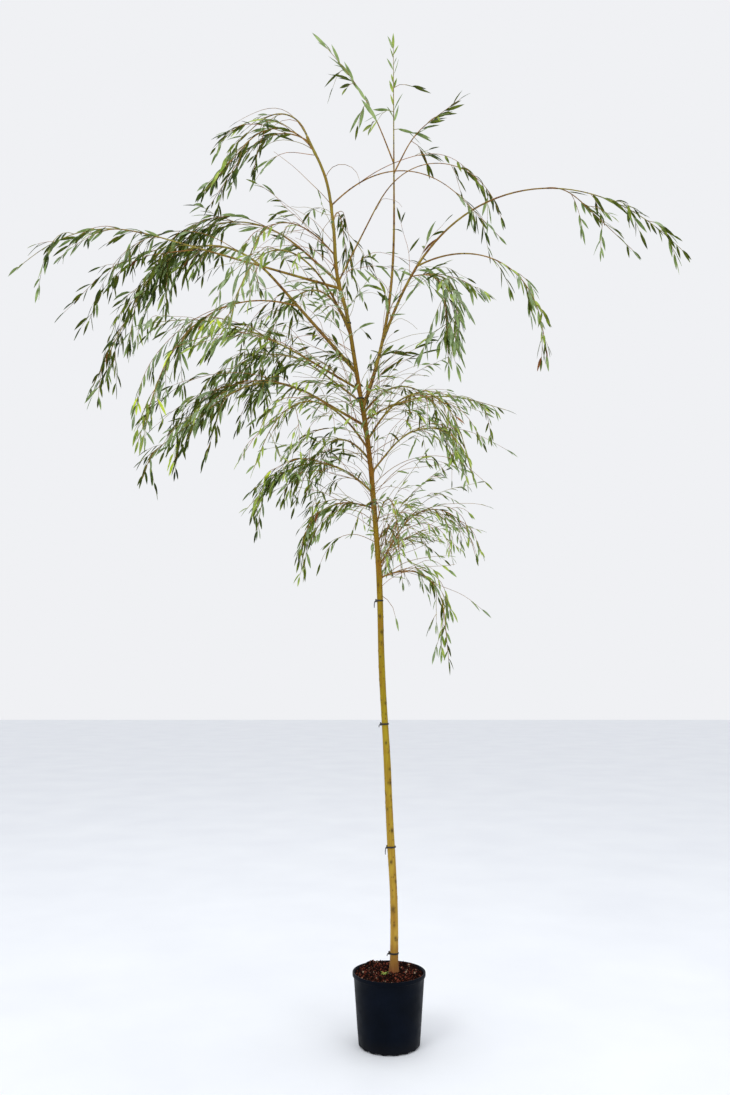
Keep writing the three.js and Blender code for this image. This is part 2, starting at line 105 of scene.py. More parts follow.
# Knots: how many and how large, how much longer than wide they are, how far they stand out and are
# pitted, and their stain's and pit's width beside the bump's. Then the large ones in sight: height,
# angle round the trunk and size. The angle is in radians from +Y towards -X: 3.14 faces -Y.
KNOTS = {
    "count": 260, "size": (2.2, 5.5), "longer": 1.4, "bump": 1.3, "pit": 1.2,
    "pit_width": 0.45, "stain_width": 0.85,
}
LARGE_KNOTS = [
    (545, 2.75, 13), (430, 3.4, 6), (660, 3.9, 7), (740, 2.9, 7), (870, 3.6, 8), (960, 2.6, 6),
    (1070, 3.8, 8), (1240, 3.1, 6), (1410, 3.7, 7), (1720, 3.5, 9), (1790, 3.0, 8), (1930, 2.7, 7),
]
TIE_HEIGHTS = [365, 800, 1320, 1860, 2300, 2790, 3150]

# A tie's band, how far it clears the trunk, its loose tail, which ones have a long tail, and its
# buckle.
TIE = {
    "height": 7, "thickness": 2.0, "clear": 1.6, "sides": 36,
    "tail": 12, "long_tail": 30, "long_tails": (1, 3, 4), "tail_radii": (2.2, 2.0, 1.8, 1.5),
    "buckle": 6, "buckle_radius": 4,
}

# Each limb: parent, place on it, heading, length, rise, fall, turn, spread, girth, bare share, the
# share before which it bears no twigs, and how long its twigs are beside the longest.
LIMBS = {
    "left_low": ("trunk", 2275, 190, 570, 18, -76, 0.5, 1, 8, 0, 0, 1),
    "left_second": ("trunk", 2345, 172, 780, 46, -48, 0.5, 1, 10, 0.25, 0, 1),
    "left_third": ("trunk", 2660, 185, 1250, 30, -40, 0.45, 0.5, 14, 0.22, 0.3, 1),
    "left_fourth": ("trunk", 2830, 200, 1100, 25, -30, 0.8, 1.1, 12, 0.25, 0.4, 1),
    "left_great": ("trunk", 2910, 176, 2000, 50, -65, 0.55, 0.5, 19, 0.36, 0.46, 1),
    "left_under": ("left_great", 430, 192, 1200, 30, -75, 0.3, 1.2, 9, 0, 0.2, 0.8),
    "left_middle": ("trunk", 2770, 160, 1150, 40, -50, 0.6, 0.8, 10, 0, 0.3, 1),
    "left_far": ("trunk", 3320, 184, 1650, 15, -45, 0.8, 0.5, 14, 0.4, 0.52, 1),
    "left_high": ("trunk", 3350, 170, 1300, 45, -60, 0.6, 0.9, 12, 0.4, 0.5, 1),
    "leader_side": ("trunk", 4000, 196, 800, 70, -55, 0.25, 0.8, 8, 0, 0.15, 0.6),
    "leader_back": ("trunk", 4050, 164, 750, 55, -55, 0.3, 1, 8, 0, 0.15, 0.6),
    "leader": ("trunk", 4073, 180, 560, 70, -45, 0.4, 0.8, 10, 0, 0.3, 0.5),
    "second_leader": ("trunk", 2740, 0, 1900, 67, 90, 0.2, 0.8, 20, 0.71, 0.76, 0.3),
    "top_left": ("second_leader", 1220, 184, 750, 70, 50, 0.6, 1, 8, 0, 0.25, 0.3),
    "top_right": ("second_leader", 1170, 6, 600, 65, 40, 0.5, 0.6, 8, 0, 0.3, 0.4),
    "right_great": ("second_leader", 330, 2, 2000, 70, -55, 0.6, 1.2, 15, 0.64, 0.72, 0.45),
    "right_drop": ("right_great", 1170, 20, 650, 20, -35, 0.2, 0.5, 6, 0, 0.2, 0.5),
    "right_middle": ("right_great", 410, 346, 1000, 35, -85, 0.4, 1.3, 9, 0.3, 0.36, 0.45),
    "right_inner": ("right_great", 350, 322, 660, -4, -88, 0.3, 0.6, 6, 0, 0, 1),
    "right_fourth": ("trunk", 2685, 354, 750, 35, -20, 0.45, 1.2, 10, 0.25, 0.45, 0.55),
    "right_third": ("trunk", 2440, 346, 750, 50, -75, 0.6, 0.9, 10, 0.25, 0.4, 0.7),
    "right_second": ("trunk", 2010, 14, 800, 60, -80, 0.65, 0.9, 9, 0, 0.2, 0.8),
    "right_low": ("trunk", 1960, 336, 700, 20, -85, 0.4, 0.8, 8, 0, 0.25, 0.7),
    "arch_outer": ("trunk", 3350, 8, 1350, 65, -90, 0.75, 0.9, 9, 0.45, 0.7, 0.4),
    "arch_inner": ("trunk", 3730, 352, 1050, 45, -50, 0.4, 0.9, 8, 0, 0.66, 0.5),
    "front_low": ("trunk", 2190, 284, 640, 44, -78, 0.5, 1, 8, 0, 0, 1),
    "front_left": ("trunk", 2550, 228, 980, 40, -66, 0.5, 1, 11, 0.25, 0.3, 1),
    "front_right": ("trunk", 2590, 312, 920, 44, -70, 0.5, 1, 11, 0.25, 0.35, 1),
    "front_high": ("trunk", 3090, 236, 1240, 48, -72, 0.5, 1, 12, 0.3, 0.36, 1),
    "front_top": ("trunk", 3480, 216, 760, 36, -76, 0.5, 1, 8, 0, 0.25, 1),
    "back_low": ("trunk", 2110, 70, 620, 48, -74, 0.5, 1, 8, 0, 0, 1),
    "back_left": ("trunk", 2500, 128, 860, 44, -60, 0.5, 1, 11, 0.25, 0.3, 1),
    "back_right": ("trunk", 2720, 44, 1000, 48, -64, 0.5, 1, 12, 0.25, 0.35, 1),
    "back_high": ("trunk", 3140, 128, 1240, 56, -66, 0.5, 1, 12, 0.3, 0.36, 1),
    "back_top": ("trunk", 3650, 84, 900, 46, -74, 0.5, 1, 8, 0, 0.3, 1),
}
# The solids' rule: their tip leaf and side twigs. The last row of TWIG is the scene's own: how
# thick, finely bent and wavy they are here.
TIP_LEAF = 132
GROWN_ON = 0.45 * TIP_LEAF
TWIG = {
    "every": 112, "first_at": 50, "length": 255, "length_at_tip": 150, "hang": -85, "reach": 340,
    "angle": (24, 58), "roll": (-40, 40), "size": (0.75, 1.2), "bend": (0.4, 0.85),
    "spacing": (0.8, 1.2),
    "thickness": 1.15, "steps": 14, "sway": 5, "phase": 40,
}

# Where the draws start: the side twigs' at the solids' own seed, the rest each at its own.
SEED = 4711
SEEDS = {
    "shoots": SEED + 100, "leaves": SEED + 500, "trunk": SEED + 900, "compost": SEED + 950,
    "seedling": SEED + 970,
}
ANY_PHASE = (0, 6)

# How each limb is dressed: companion shoots beside it, spurs at its foot, how full of leaves its
# shoots are, its tone, how close its fine shoots stand, the size of its leaves and how they hang.
DRESS = {
    "left_low": (3, 3, 0.95, "green", 0.7, 0.75, 0.8),
    "left_second": (5, 4, 0.95, "deep", 0.8, 0.75, 0.9),
    "left_third": (6, 4, 0.9, "deep", 0.75, 0.9, 0.9),
    "left_fourth": (3, 4, 0.8, "green", 0.45, 0.95, 1.0),
    "left_great": (4, 3, 0.9, "deep", 0.65, 1.0, 0.9),
    "left_under": (2, 0, 0.75, "grey", 0.4, 0.95, 1.0),
    "left_middle": (4, 3, 0.9, "green", 0.6, 0.85, 0.9),
    "left_far": (2, 2, 0.6, "deep", 0.3, 0.95, 0.7),
    "left_high": (5, 2, 0.95, "deep", 0.75, 1.05, 0.8),
    "leader_side": (4, 0, 0.9, "deep", 0.35, 0.9, 0.3),
    "leader_back": (2, 0, 0.85, "deep", 0.3, 0.9, 0.3),
    "leader": (1, 0, 0.25, "green", 0.3, 0.7, 0.5),
    "second_leader": (0, 3, 0.85, "green", 0.08, 1.15, 0.2),
    "top_left": (0, 0, 0.85, "green", 0.08, 1.15, 0.2),
    "top_right": (0, 0, 0.7, "deep", 0.2, 1.1, 0.3),
    "right_great": (0, 4, 0.9, "green", 0.25, 1.05, 0.7),
    "right_drop": (0, 0, 0.75, "grey", 0.4, 0.95, 0.5),
    "right_middle": (0, 0, 1.0, "green", 0.2, 1.0, 0.8),
    "right_inner": (5, 0, 0.9, "grey", 0.9, 1.0, 0.9),
    "right_fourth": (3, 4, 0.8, "fresh", 0.3, 0.65, 1.0),
    "right_third": (3, 4, 0.85, "fresh", 0.3, 0.7, 1.0),
    "right_second": (5, 5, 0.7, "fresh", 0.6, 0.55, 0.8),
    "right_low": (1, 3, 0.8, "fresh", 0.3, 0.8, 0.8),
    "arch_outer": (0, 1, 0.85, "deep", 0.2, 0.95, 0.9),
    "arch_inner": (1, 0, 0.75, "deep", 0.25, 0.95, 0.7),
    "front_low": (1, 3, 0.55, "fresh", 0.5, 0.6, 0.8),
    "front_left": (2, 4, 0.6, "fresh", 0.45, 0.7, 0.9),
    "front_right": (1, 4, 0.5, "fresh", 0.4, 0.6, 0.8),
    "front_high": (1, 4, 0.55, "grey", 0.4, 0.8, 0.9),
    "front_top": (0, 2, 0.5, "grey", 0.35, 0.9, 0.8),
    "back_low": (2, 3, 0.6, "green", 0.5, 0.65, 0.8),
    "back_left": (3, 3, 0.7, "deep", 0.5, 0.8, 0.9),
    "back_right": (2, 3, 0.6, "green", 0.45, 0.75, 0.9),
    "back_high": (2, 3, 0.65, "deep", 0.5, 0.9, 0.9),
    "back_top": (1, 1, 0.55, "deep", 0.4, 0.9, 0.8),
}

# Single shoots that stand out from the trunk, by the limb whose space they keep to: height on the
# trunk, heading, length, rise, fall and how full of leaves they are (None: as full as the limb).
OUTSTANDING = {
    "leader_side": [(3735, 182, 380, 50, 38, 0.0), (3985, 190, 350, 8, -64, 0.35)],
    "leader_back": [(4010, 172, 330, 40, -40, 0.3)],
    "leader": [(4075, 176, 430, 66, -34, 0.05), (4060, 186, 300, 74, -70, 0.15)],
    "top_right": [(3870, 8, 270, 66, -84, 0.0)],
    "left_high": [(3420, 178, 420, 44, -20, 0.2)],
    "left_great": [(3010, 184, 460, 34, -40, 0.6)],
    "left_middle": [(3240, 165, 400, 30, -30, 0.6), (2950, 168, 520, 22, -46, 0.7)],
    "left_fourth": [(2760, 206, 430, 40, -40, 0.7)],
    "left_third": [(2700, 172, 470, 48, -50, 0.7)],
    "left_second": [
        (2600, 198, 430, 24, -56, 0.7), (2480, 186, 400, 40, -60, 0.7),
        (2380, 160, 380, 30, -60, 0.7),
    ],
    "left_low": [(2210, 200, 360, 34, -60, 0.7), (2120, 176, 330, 30, -70, 0.7)],
    "right_great": [(2800, 6, 420, 62, 24, 0.1), (2790, 340, 360, 54, 8, 0.3)],
    "right_fourth": [
        (2770, 14, 330, 40, -20, 0.4), (2650, 350, 480, 58, 24, 0.5), (2600, 12, 640, 44, -14, 0.6),
    ],
    "right_third": [
        (2520, 2, 690, 36, -30, 0.7), (2380, 340, 600, 40, -44, 0.7), (2330, 14, 520, 58, -20, 0.6),
    ],
    "right_second": [
        (2060, 350, 520, 80, 50, None), (2040, 20, 580, 74, 30, 0.8), (2010, 4, 640, 68, 14, 0.8),
        (2000, 330, 560, 72, 34, 0.8), (2020, 30, 500, 78, 20, 0.8), (1990, 10, 560, 56, -10, 0.8),
        (1980, 40, 480, 62, -10, None),
    ],
    "right_low": [(1950, 0, 330, 40, 0, 0.3), (1890, 0, 130, -30, -80, 0.1)],
}

# Stems and shoots as tubes. A stem is olive where its limb is thicker than olive_from.
STEM = {
    "tip_radius": 1.1, "ring_every": 12, "sides": 8, "bough_sides": 12, "knuckle": 0.07,
    "olive_from": 9,
}
SHOOT = {"radius": 1.35, "tip_radius": 0.7, "ring_every": 30, "sides": 5}

# Finer growth: where it stands and how far apart, its lengths, the angles it leaves at, how far it
# bends towards hanging, its thickness beside a shoot's, its bare share, the steps of its curve and
# its sway in degrees. Companions grow beside a limb, strays are the single shoots above, and spurs
# stand round a limb's foot.
FINE = {
    "every": 66, "start": (0.3, 0.9), "to": 0.94, "spacing": (0.7, 1.35), "shortest": 90,
    "longest": 240, "tip_size": 0.6, "angle": (14, 40), "roll": (-70, 70), "bend": (0.2, 0.75),
    "thickness": 0.95, "tip_thickness": 0.75, "steps": 9, "sway": 7,
}
COMPANION = {
    "from": 0.12, "to": 0.62, "size": (0.7, 1.0), "angle": (8, 24), "falls_by": (0, 10),
    "thickness": 1.5, "bare": 0.22, "steps": 30, "sway": 5,
}
STRAY = {"thickness": 1.25, "bare": 0.3, "steps": 24, "sway": 5}
SPUR = {
    "shortest": 130, "longest": 430, "from": 0.02, "to": 0.34, "beside": 110, "angle": (12, 50),
    "swing": (-70, 70), "lift": (20, 68), "bend": (0.0, 0.6), "leafy": 0.65, "fullness": 0.45,
    "thickness": 0.9, "bare": 0.25, "turn": 0.6, "spread": 0.9, "steps": 14, "sway": 10,
}

# Fine shoots on other shoots: how far apart they stand and how long the shortest and the longest
# are, beside those on a stem. Shoots no fuller than BEARS_FINE bear none.
FINE_ON_SHOOT = (1.5, 1.0, 0.8)
FINE_ON_TWIG = (1.5, 0.8, 0.6)
BEARS_FINE = 0.3

# Leaves: their spacing along a shoot, the size of a full-grown one and how it varies, the angle
# they leave at, how much they lean down, droop, roll and twist, their hollow beside the half width
# and their thickness. TIP is a shoot's last leaf. The outline is shares of the length and the half
# width, stalk first.
LEAF = {
    "every": 29, "place": (0.2, 0.8), "length": 100, "width": 15, "size": (0.68, 1.12),
    "splay": 30, "splay_size": (0.5, 1.5), "turn": (-60, 60), "lean": (0.05, 0.75),
    "droop": (0.1, 0.6), "roll": (-0.8, 0.8), "twist": (-0.7, 0.7), "hollow": 0.3,
    "thickness": 0.4, "stalk_thickness": 1.2,
}
TIP = {"length": 84, "size": (0.7, 1.1), "droop": 0.15, "twist": 0.3}
OUTLINE = [
    (0.0, 0.07), (0.07, 0.1), (0.22, 0.74), (0.45, 1.0), (0.7, 0.76), (0.88, 0.34), (1.0, 0.0),
]

# Leaves by tone: darker and lighter colour, roughness and the tone of the underside.
LEAF_TONES = {
    "green": ("3b4a08", "788826", 0.5, "dull"),
    "deep": ("1a2803", "42550f", 0.5, "dull"),
    "fresh": ("6e872d", "a8b859", 0.5, "pale"),
    "grey": ("5f6f49", "93a57b", 0.5, "pale"),
    # The bright lime tone is a painted highlight: leaves lit bright by the lamp.
    "lime_lit": ("9cb524", "d0e050", 0.5, "fresh"),
    "dry": ("5c3018", "8a5a2a", 0.6, "dry"),
    "dull": ("2d3708", "5d6a1c", 0.6, "dull"),
    "pale": ("61763c", "9bb072", 0.6, "pale"),
}

# How many sprays have another tone than their limb's, which limbs get a painted highlight, lime
# tips where the lamp lights them, on how many of their small tip sprays, and how many leaves are
# paler or have dried.
OTHER_TONES = {"fresh": 0.12, "grey": 0.13, "green": 0.2}
OWN_TONE = 0.55
LAMP_LIT_TIPS = {
    "left_great": 0.55, "left_under": 0.6, "left_fourth": 0.3, "left_third": 0.12,
    "left_second": 0.2,
}
LAMP_LIT_FROM = 0.76
DRY_LEAVES = 0.007
PALER_LEAVES = 0.2

# Twigs by tone: the colours of the buds and of the bark, darker and lighter, and their share.
TWIG_COLOURS = {
    "tan": ("3f2508", "7a5212", "997524", 0.38),
    "olive": ("43310c", "77681a", "958a2e", 0.42),
    "red": ("3d1e08", "824c14", "a36f26", 0.2),
}

REGIONS = {
    "left_lower": ("left_low", "left_second", "left_third", "left_fourth", "left_middle"),
    "left_upper": ("left_great", "left_under", "left_far", "left_high"),
    "leader": ("leader_side", "leader_back", "leader", "arch_outer", "arch_inner"),
    "right_upper": (
        "second_leader", "top_left", "top_right", "right_great", "right_drop", "right_middle",
        "right_inner",
    ),
    "right_lower": ("right_fourth", "right_third", "right_second", "right_low"),
    "front": ("front_low", "front_left", "front_right", "front_high", "front_top"),
    "back": ("back_low", "back_left", "back_right", "back_high", "back_top"),
}

# ---------------------------------------------------------------- curves


def seeded(seed):
    """A repeatable random number generator, from 0 to 1."""
    state = seed

    def draw():
        nonlocal state
        state = (state * 1664525 + 1013904223) % 4294967296
        return state / 4294967296

    return draw


def lerp(a, b, share):
    return a + (b - a) * share


def smoothstep(x, low, high):
    t = min(1.0, max(0.0, (x - low) / (high - low)))
    return t * t * (3 - 2 * t)


def unit(v):
    return v / np.linalg.norm(v)


def direction(heading, elevation):
    turn, tilt = math.radians(heading), math.radians(elevation)
    return np.array([
        math.cos(turn) * math.cos(tilt), math.sin(turn) * math.cos(tilt), math.sin(tilt),
    ])


class Curve:
    """A path of close points, read by the share of its length."""

    def __init__(self, points):
        self.points = np.array(points)
        steps = np.linalg.norm(np.diff(self.points, axis=0), axis=1)
        self.reached = np.concatenate([[0.0], np.cumsum(steps)])
        self.length = self.reached[-1]

    def at(self, share):
        place = np.asarray(share) * self.length
        return np.stack([np.interp(place, self.reached, self.points[:, i]) for i in range(3)], -1)

    def along(self, share):
        step = 0.02
        return unit(self.at(min(1.0, share + step)) - self.at(max(0.0, share - step)))


def arch(start, heading, length, rise, fall, turn, spread, steps=40, sway=0.0, phase=0.0):
    """Rises, bends over round `turn` and ends falling. `sway` degrees of slow wander are added."""
    points = [np.array(start, float)]
    for i in range(steps):
        share = (i + 0.5) / steps
        bent = smoothstep(share, turn - spread / 2, turn + spread / 2)
        wander = sway * math.sin(phase + 9 * share)
        lift = lerp(rise, fall, bent) + 0.6 * sway * math.sin(2.3 * phase + 11 * share)
        points.append(points[-1] + direction(heading + wander, lift) * length / steps)
    return Curve(points)


def through(points, fine=24):
    """A centripetal Catmull-Rom curve through points."""
    points = [np.array(p, float) for p in points]
    points = [2 * points[0] - points[1], *points, 2 * points[-1] - points[-2]]
    path = []
    for a, b, c, d in zip(points, points[1:], points[2:], points[3:]):
        ab, bc, cd = (math.sqrt(np.linalg.norm(q - p)) for p, q in ((a, b), (b, c), (c, d)))
        leave = ((b - a) / ab - (c - a) / (ab + bc) + (c - b) / bc) * bc
        arrive = ((c - b) / bc - (d - b) / (bc + cd) + (d - c) / cd) * bc
        for i in range(fine):
            t = i / fine
            path.append(
                (2 * t ** 3 - 3 * t ** 2 + 1) * b + (t ** 3 - 2 * t ** 2 + t) * leave
                + (3 * t ** 2 - 2 * t ** 3) * c + (t ** 3 - t ** 2) * arrive
            )
    path.append(points[-2])
    return Curve(path)


# ---------------------------------------------------------------- mesh pieces


def into_scene(name, data):
    thing = bpy.data.objects.new(name, data)
    bpy.context.scene.collection.objects.link(thing)
    return thing


def round_about(sides):
    return np.arange(sides) * 2 * math.pi / sides


def circle(radius, height, sides):
    return [(radius * math.cos(a), radius * math.sin(a), height) for a in round_about(sides)]


class Builder:
    """Collects the vertices and faces of one piece."""

    def __init__(self):
        self.vertices = []
        self.faces = []
        self.slots = []
        self.count = 0

    def add(self, vertices, faces, slot=0):
        vertices = np.asarray(vertices, float).reshape(-1, 3)
        self.vertices.append(vertices)
        self.faces.extend([tuple(index + self.count for index in face) for face in faces])
        self.slots.extend(slot if isinstance(slot, list) else [slot] * len(faces))
        self.count += len(vertices)

    def shell(self, first, rings, last, slot=0):
        """Skins a row of rings and closes each end with a point."""
        count, sides = np.shape(rings)[:2]
        end = 1 + count * sides
        faces = []
        for j in range(sides):
            k = (j + 1) % sides
            faces.append((0, 1 + k, 1 + j))
            for i in range(count - 1):
                a, b = 1 + i * sides, 1 + (i + 1) * sides
                faces.append((a + j, a + k, b + k, b + j))
            faces.append((end - sides + j, end - sides + k, end))
        self.add(np.concatenate([[first], np.reshape(rings, (-1, 3)), [last]]), faces, slot)

    def tube(self, centres, radii, sides, reference, slot=0):
        """A tapering tube closed to a point at its far end and flat at its foot."""
        centres = np.asarray(centres)
        tangents = np.gradient(centres, axis=0)
        tangents /= np.linalg.norm(tangents, axis=1)[:, None]
        side = np.asarray(reference) - tangents * (tangents @ reference)[:, None]
        side /= np.linalg.norm(side, axis=1)[:, None]
        across = np.cross(tangents, side)
        radii = np.asarray(radii, float).reshape(len(centres), -1)
        radii = np.broadcast_to(radii, (len(centres), sides))
        rings = (
            centres[:, None, :]
            + side[:, None, :] * (np.cos(round_about(sides)) * radii)[..., None]
            + across[:, None, :] * (np.sin(round_about(sides)) * radii)[..., None]
        )
        self.shell(centres[0], rings, centres[-1] + tangents[-1] * radii[-1].mean(), slot)

    def lathe(self, profile, sides):
        """Turns (radius, height) points round Z. The profile starts and ends on the axis."""
        rings = [circle(radius, height, sides) for radius, height in profile[1:-1]]
        self.shell((0, 0, profile[0][1]), rings, (0, 0, profile[-1][1]))

    def piece(self, name, materials, smooth=True):
        mesh = bpy.data.meshes.new(name)
        mesh.from_pydata(np.concatenate(self.vertices).tolist(), [], self.faces)
        for material in materials:
            mesh.materials.append(material)
        mesh.polygons.foreach_set("material_index", self.slots)
        mesh.polygons.foreach_set("use_smooth", [smooth] * len(self.faces))
        mesh.update()
        piece = into_scene(name, mesh)
        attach(piece, "root")
        return piece


# ---------------------------------------------------------------- materials


def hexed(code):
    """A linear colour from an sRGB code such as 'c8a860'."""
    parts = [int(code[i:i + 2], 16) / 255 for i in (0, 2, 4)]
    linear = [c / 12.92 if c <= 0.04045 else ((c + 0.055) / 1.055) ** 2.4 for c in parts]
    return (*linear, 1.0)


class Nodes:
    """A new material and short ways to add its nodes."""

    def __init__(self, name, specular):
        self.material = bpy.data.materials.new(name)
        self.material.use_nodes = True
        self.tree = self.material.node_tree
        self.shader = self.tree.nodes["Principled BSDF"]
        self.fill(self.shader, Specular_IOR_Level=specular)
        self.place = self.node("TexCoord").outputs["Object"]

    def feed(self, socket, value):
        """Links a socket to another node's output, or sets its number or colour."""
        if isinstance(value, bpy.types.NodeSocket):
            self.tree.links.new(value, socket)
        else:
            socket.default_value = hexed(value) if isinstance(value, str) else value

    def fill(self, node, **inputs):
        for key, value in inputs.items():
            self.feed(node.inputs[key.replace("_", " ")], value)

    def node(self, kind, **inputs):
        node = self.tree.nodes.new(f"ShaderNode{kind}")
        self.fill(node, **inputs)
        return node

    def stretched(self, scale):
        return self.node("Mapping", Vector=self.place, Scale=scale).outputs["Vector"]

    def noise(self, scale, detail, vector=None, roughness=0.55):
        node = self.node("TexNoise", Scale=scale, Detail=detail, Roughness=roughness)
        self.fill(node, Vector=vector or self.place)
        return node.outputs["Fac"]

    def cells(self, scale, vector):
        return self.node("TexVoronoi", Scale=scale, Vector=vector).outputs["Distance"]

    def height(self):
        return self.node("SeparateXYZ", Vector=self.place).outputs["Z"]

    def ramp(self, value, stops):
        node = self.node("ValToRGB", Fac=value)
        ramp = node.color_ramp
        while len(ramp.elements) < len(stops):
            ramp.elements.new(0.5)
        for element, (position, colour) in zip(ramp.elements, stops):
            element.position = position
            element.color = colour if isinstance(colour, tuple) else hexed(colour)
        return node.outputs["Color"]

    def ranged(self, value, low, high, to_low, to_high):
        node = self.node("MapRange", Value=value, From_Min=low, From_Max=high)
        self.fill(node, To_Min=to_low, To_Max=to_high)
        return node.outputs["Result"]

    def sheen(self, scale, detail, low, high):
        """An uneven roughness."""
        return self.ranged(self.noise(scale, detail), 0.3, 0.7, low, high)

    def mix(self, share, a, b, blend="MIX"):
        node = self.node("Mix")
        node.data_type = "RGBA"
        node.blend_type = blend
        for key, value in (("Factor", share), ("A", a), ("B", b)):
            self.feed(next(s for s in node.inputs if s.name == key and s.enabled), value)
        return next(s for s in node.outputs if s.enabled)

    def finish(self, colour, roughness, relief, strength, distance):
        bump = self.node("Bump", Height=relief, Strength=strength, Distance=distance)
        self.fill(self.shader, Base_Color=colour, Roughness=roughness)
        self.fill(self.shader, Normal=bump.outputs["Normal"])
        return self.material


def surface(name, specular, cloud, stops, sheen, relief, bump, marks=None):
    """A clouded colour with darker marks, an uneven sheen and a fine relief.

    cloud and relief are a noise's scale and detail, sheen adds its range of roughness to those,
    bump is the relief's strength and depth, and marks are a noise, the range it shows over, its
    share and its colour.
    """
    nodes = Nodes(name, specular)
    colour = nodes.ramp(nodes.noise(*cloud), stops)
    if marks:
        noise, (low, high), share, code = marks
        colour = nodes.mix(nodes.ranged(nodes.noise(*noise), low, high, 0, share), colour, code)
    return nodes.finish(colour, nodes.sheen(*sheen), nodes.noise(*relief), *bump)


def leaf_material(name, dark, light, roughness):
    return surface(
        name, 0.12, (26, 2), [(0.32, dark), (0.68, light)],
        (140, 2, roughness - 0.08, roughness + 0.1), (900, 2), (0.25, 0.0004),
    )


def twig_material(name, bud, dark, light):
    """Smooth young bark, crossed by dark buds and leaf scars."""
    return surface(
        name, 0.35, (40, 3), [(0.3, dark), (0.7, light)], (90, 2, 0.42, 0.6), (500, 3),
        (0.3, 0.0005), ((75, 1), (0.56, 0.62), 0.85, bud),
    )


def bark_material():
    """Straw above a brown foot, then yellow-olive, browner among the limbs, flecks and knots."""
    nodes = Nodes("trunk_bark", 0.18)
    height = nodes.ranged(nodes.height(), 0.25, 4.1, 0, 1)
    base = nodes.ramp(height, [
        (0.01, "7a4a2a"), (0.04, "b08e38"), (0.3, "968410"), (0.6, "7e5c0c"), (1.0, "80782a"),
    ])
    streak = nodes.noise(30, 4, nodes.stretched((3.0, 3.0, 0.25)))
    warm = nodes.ramp(streak, [(0.35, (0.74, 0.6, 0.5, 1.0)), (0.62, (1.08, 1.08, 1.0, 1.0))])
    colour = nodes.mix(0.8, base, warm, "MULTIPLY")
    patch = nodes.ranged(nodes.noise(9, 4), 0.5, 0.68, 0, 0.55)
    colour = nodes.mix(patch, colour, "885814")
    cells = nodes.cells(70, nodes.stretched((1.0, 1.0, 0.5)))
    colour = nodes.mix(nodes.ranged(cells, 0.08, 0.2, 0.85, 0), colour, "5c3a14")
    stain = nodes.node("VertexColor")
    stain.layer_name = "knot"
    split = nodes.node("SeparateColor", Color=stain.outputs["Color"])
    colour = nodes.mix(split.outputs["Red"], colour, "341f0c")
    relief = nodes.noise(160, 6, nodes.stretched((1.4, 1.4, 0.35)))
    return nodes.finish(colour, nodes.sheen(60, 4, 0.45, 0.7), relief, 0.5, 0.0012)


def bough_material():
    """Olive-yellow young bark with browner stretches, crossed by dark buds."""
    return surface(
        "bough_bark", 0.25, (14, 4), [(0.32, "6d4412"), (0.5, "7d6018"), (0.7, "8f8028")],
        (70, 4, 0.45, 0.65), (260, 5), (0.4, 0.0008), ((60, 1), (0.57, 0.63), 0.8, "3f2810"),
    )


def pot_material():
    """Near-black plastic, scuffed, with dust towards its foot."""
    nodes = Nodes("pot_plastic", 0.05)
    colour = nodes.ramp(nodes.noise(9, 5), [(0.3, "01050d"), (0.7, "050c18")])
    scuff = nodes.noise(70, 8, nodes.stretched((1, 1, 0.3)), 0.7)
    colour = nodes.mix(nodes.ranged(scuff, 0.62, 0.78, 0, 0.3), colour, "18202c")
    dust = nodes.ranged(nodes.height(), 0.06, 0.0, 0.0, 0.25)
    colour = nodes.mix(dust, colour, "26231f")
    return nodes.finish(
        colour, nodes.sheen(34, 6, 0.38, 0.55), nodes.noise(420, 6), 0.18, 0.0006,
    )


def compost_material(name, dark, light):
    return surface(
        name, 0.08, (120, 6), [(0.35, dark), (0.66, light)], (200, 4, 0.8, 0.98), (380, 6),
        (0.9, 0.003),
    )


def tie_material():
    return surface(
        "tie_rubber", 0.4, (90, 3), [(0.3, "121212"), (0.7, "232323")], (200, 3, 0.4, 0.6),
        (700, 4), (0.3, 0.0004),
    )


def floor_material():
    return surface(
        "floor_paint", 0.2, (1.5, 3), [(0.3, "e9ecf1"), (0.7, "eef1f5")], (6, 3, 0.6, 0.75),
        (40, 3), (0.05, 0.001),
    )


TONES = list(LEAF_TONES)
LEAF_MATERIALS = [
    leaf_material(f"leaf_{tone}", dark, light, roughness)
    for tone, (dark, light, roughness, _) in LEAF_TONES.items()
]
TWIG_TONES = list(TWIG_COLOURS)
TWIG_SHARES = [share for *_, share in TWIG_COLOURS.values()]
TWIG_BARK = [
    twig_material(f"twig_{tone}", *colours) for tone, (*colours, _) in TWIG_COLOURS.items()
]

# ---------------------------------------------------------------- limbs


def trunk_radius(share):
    above = trunk_curve.at(share)[2] / MM - SOIL["top"]
    flare = TRUNK["flare_radius"] * math.exp(-3 * above / TRUNK["flare_height"])
    return (lerp(TRUNK["radius"], TRUNK["tip_radius"], share ** 1.15) + flare) * MM


def share_at_height(height):
    """The share of the trunk's length at a height in millimetres."""
    low, high = 0.0, 1.0
    for _ in range(30):
        middle = (low + high) / 2
        if trunk_curve.at(middle)[2] < height * MM:
            low = middle
        else:
            high = middle
    return low


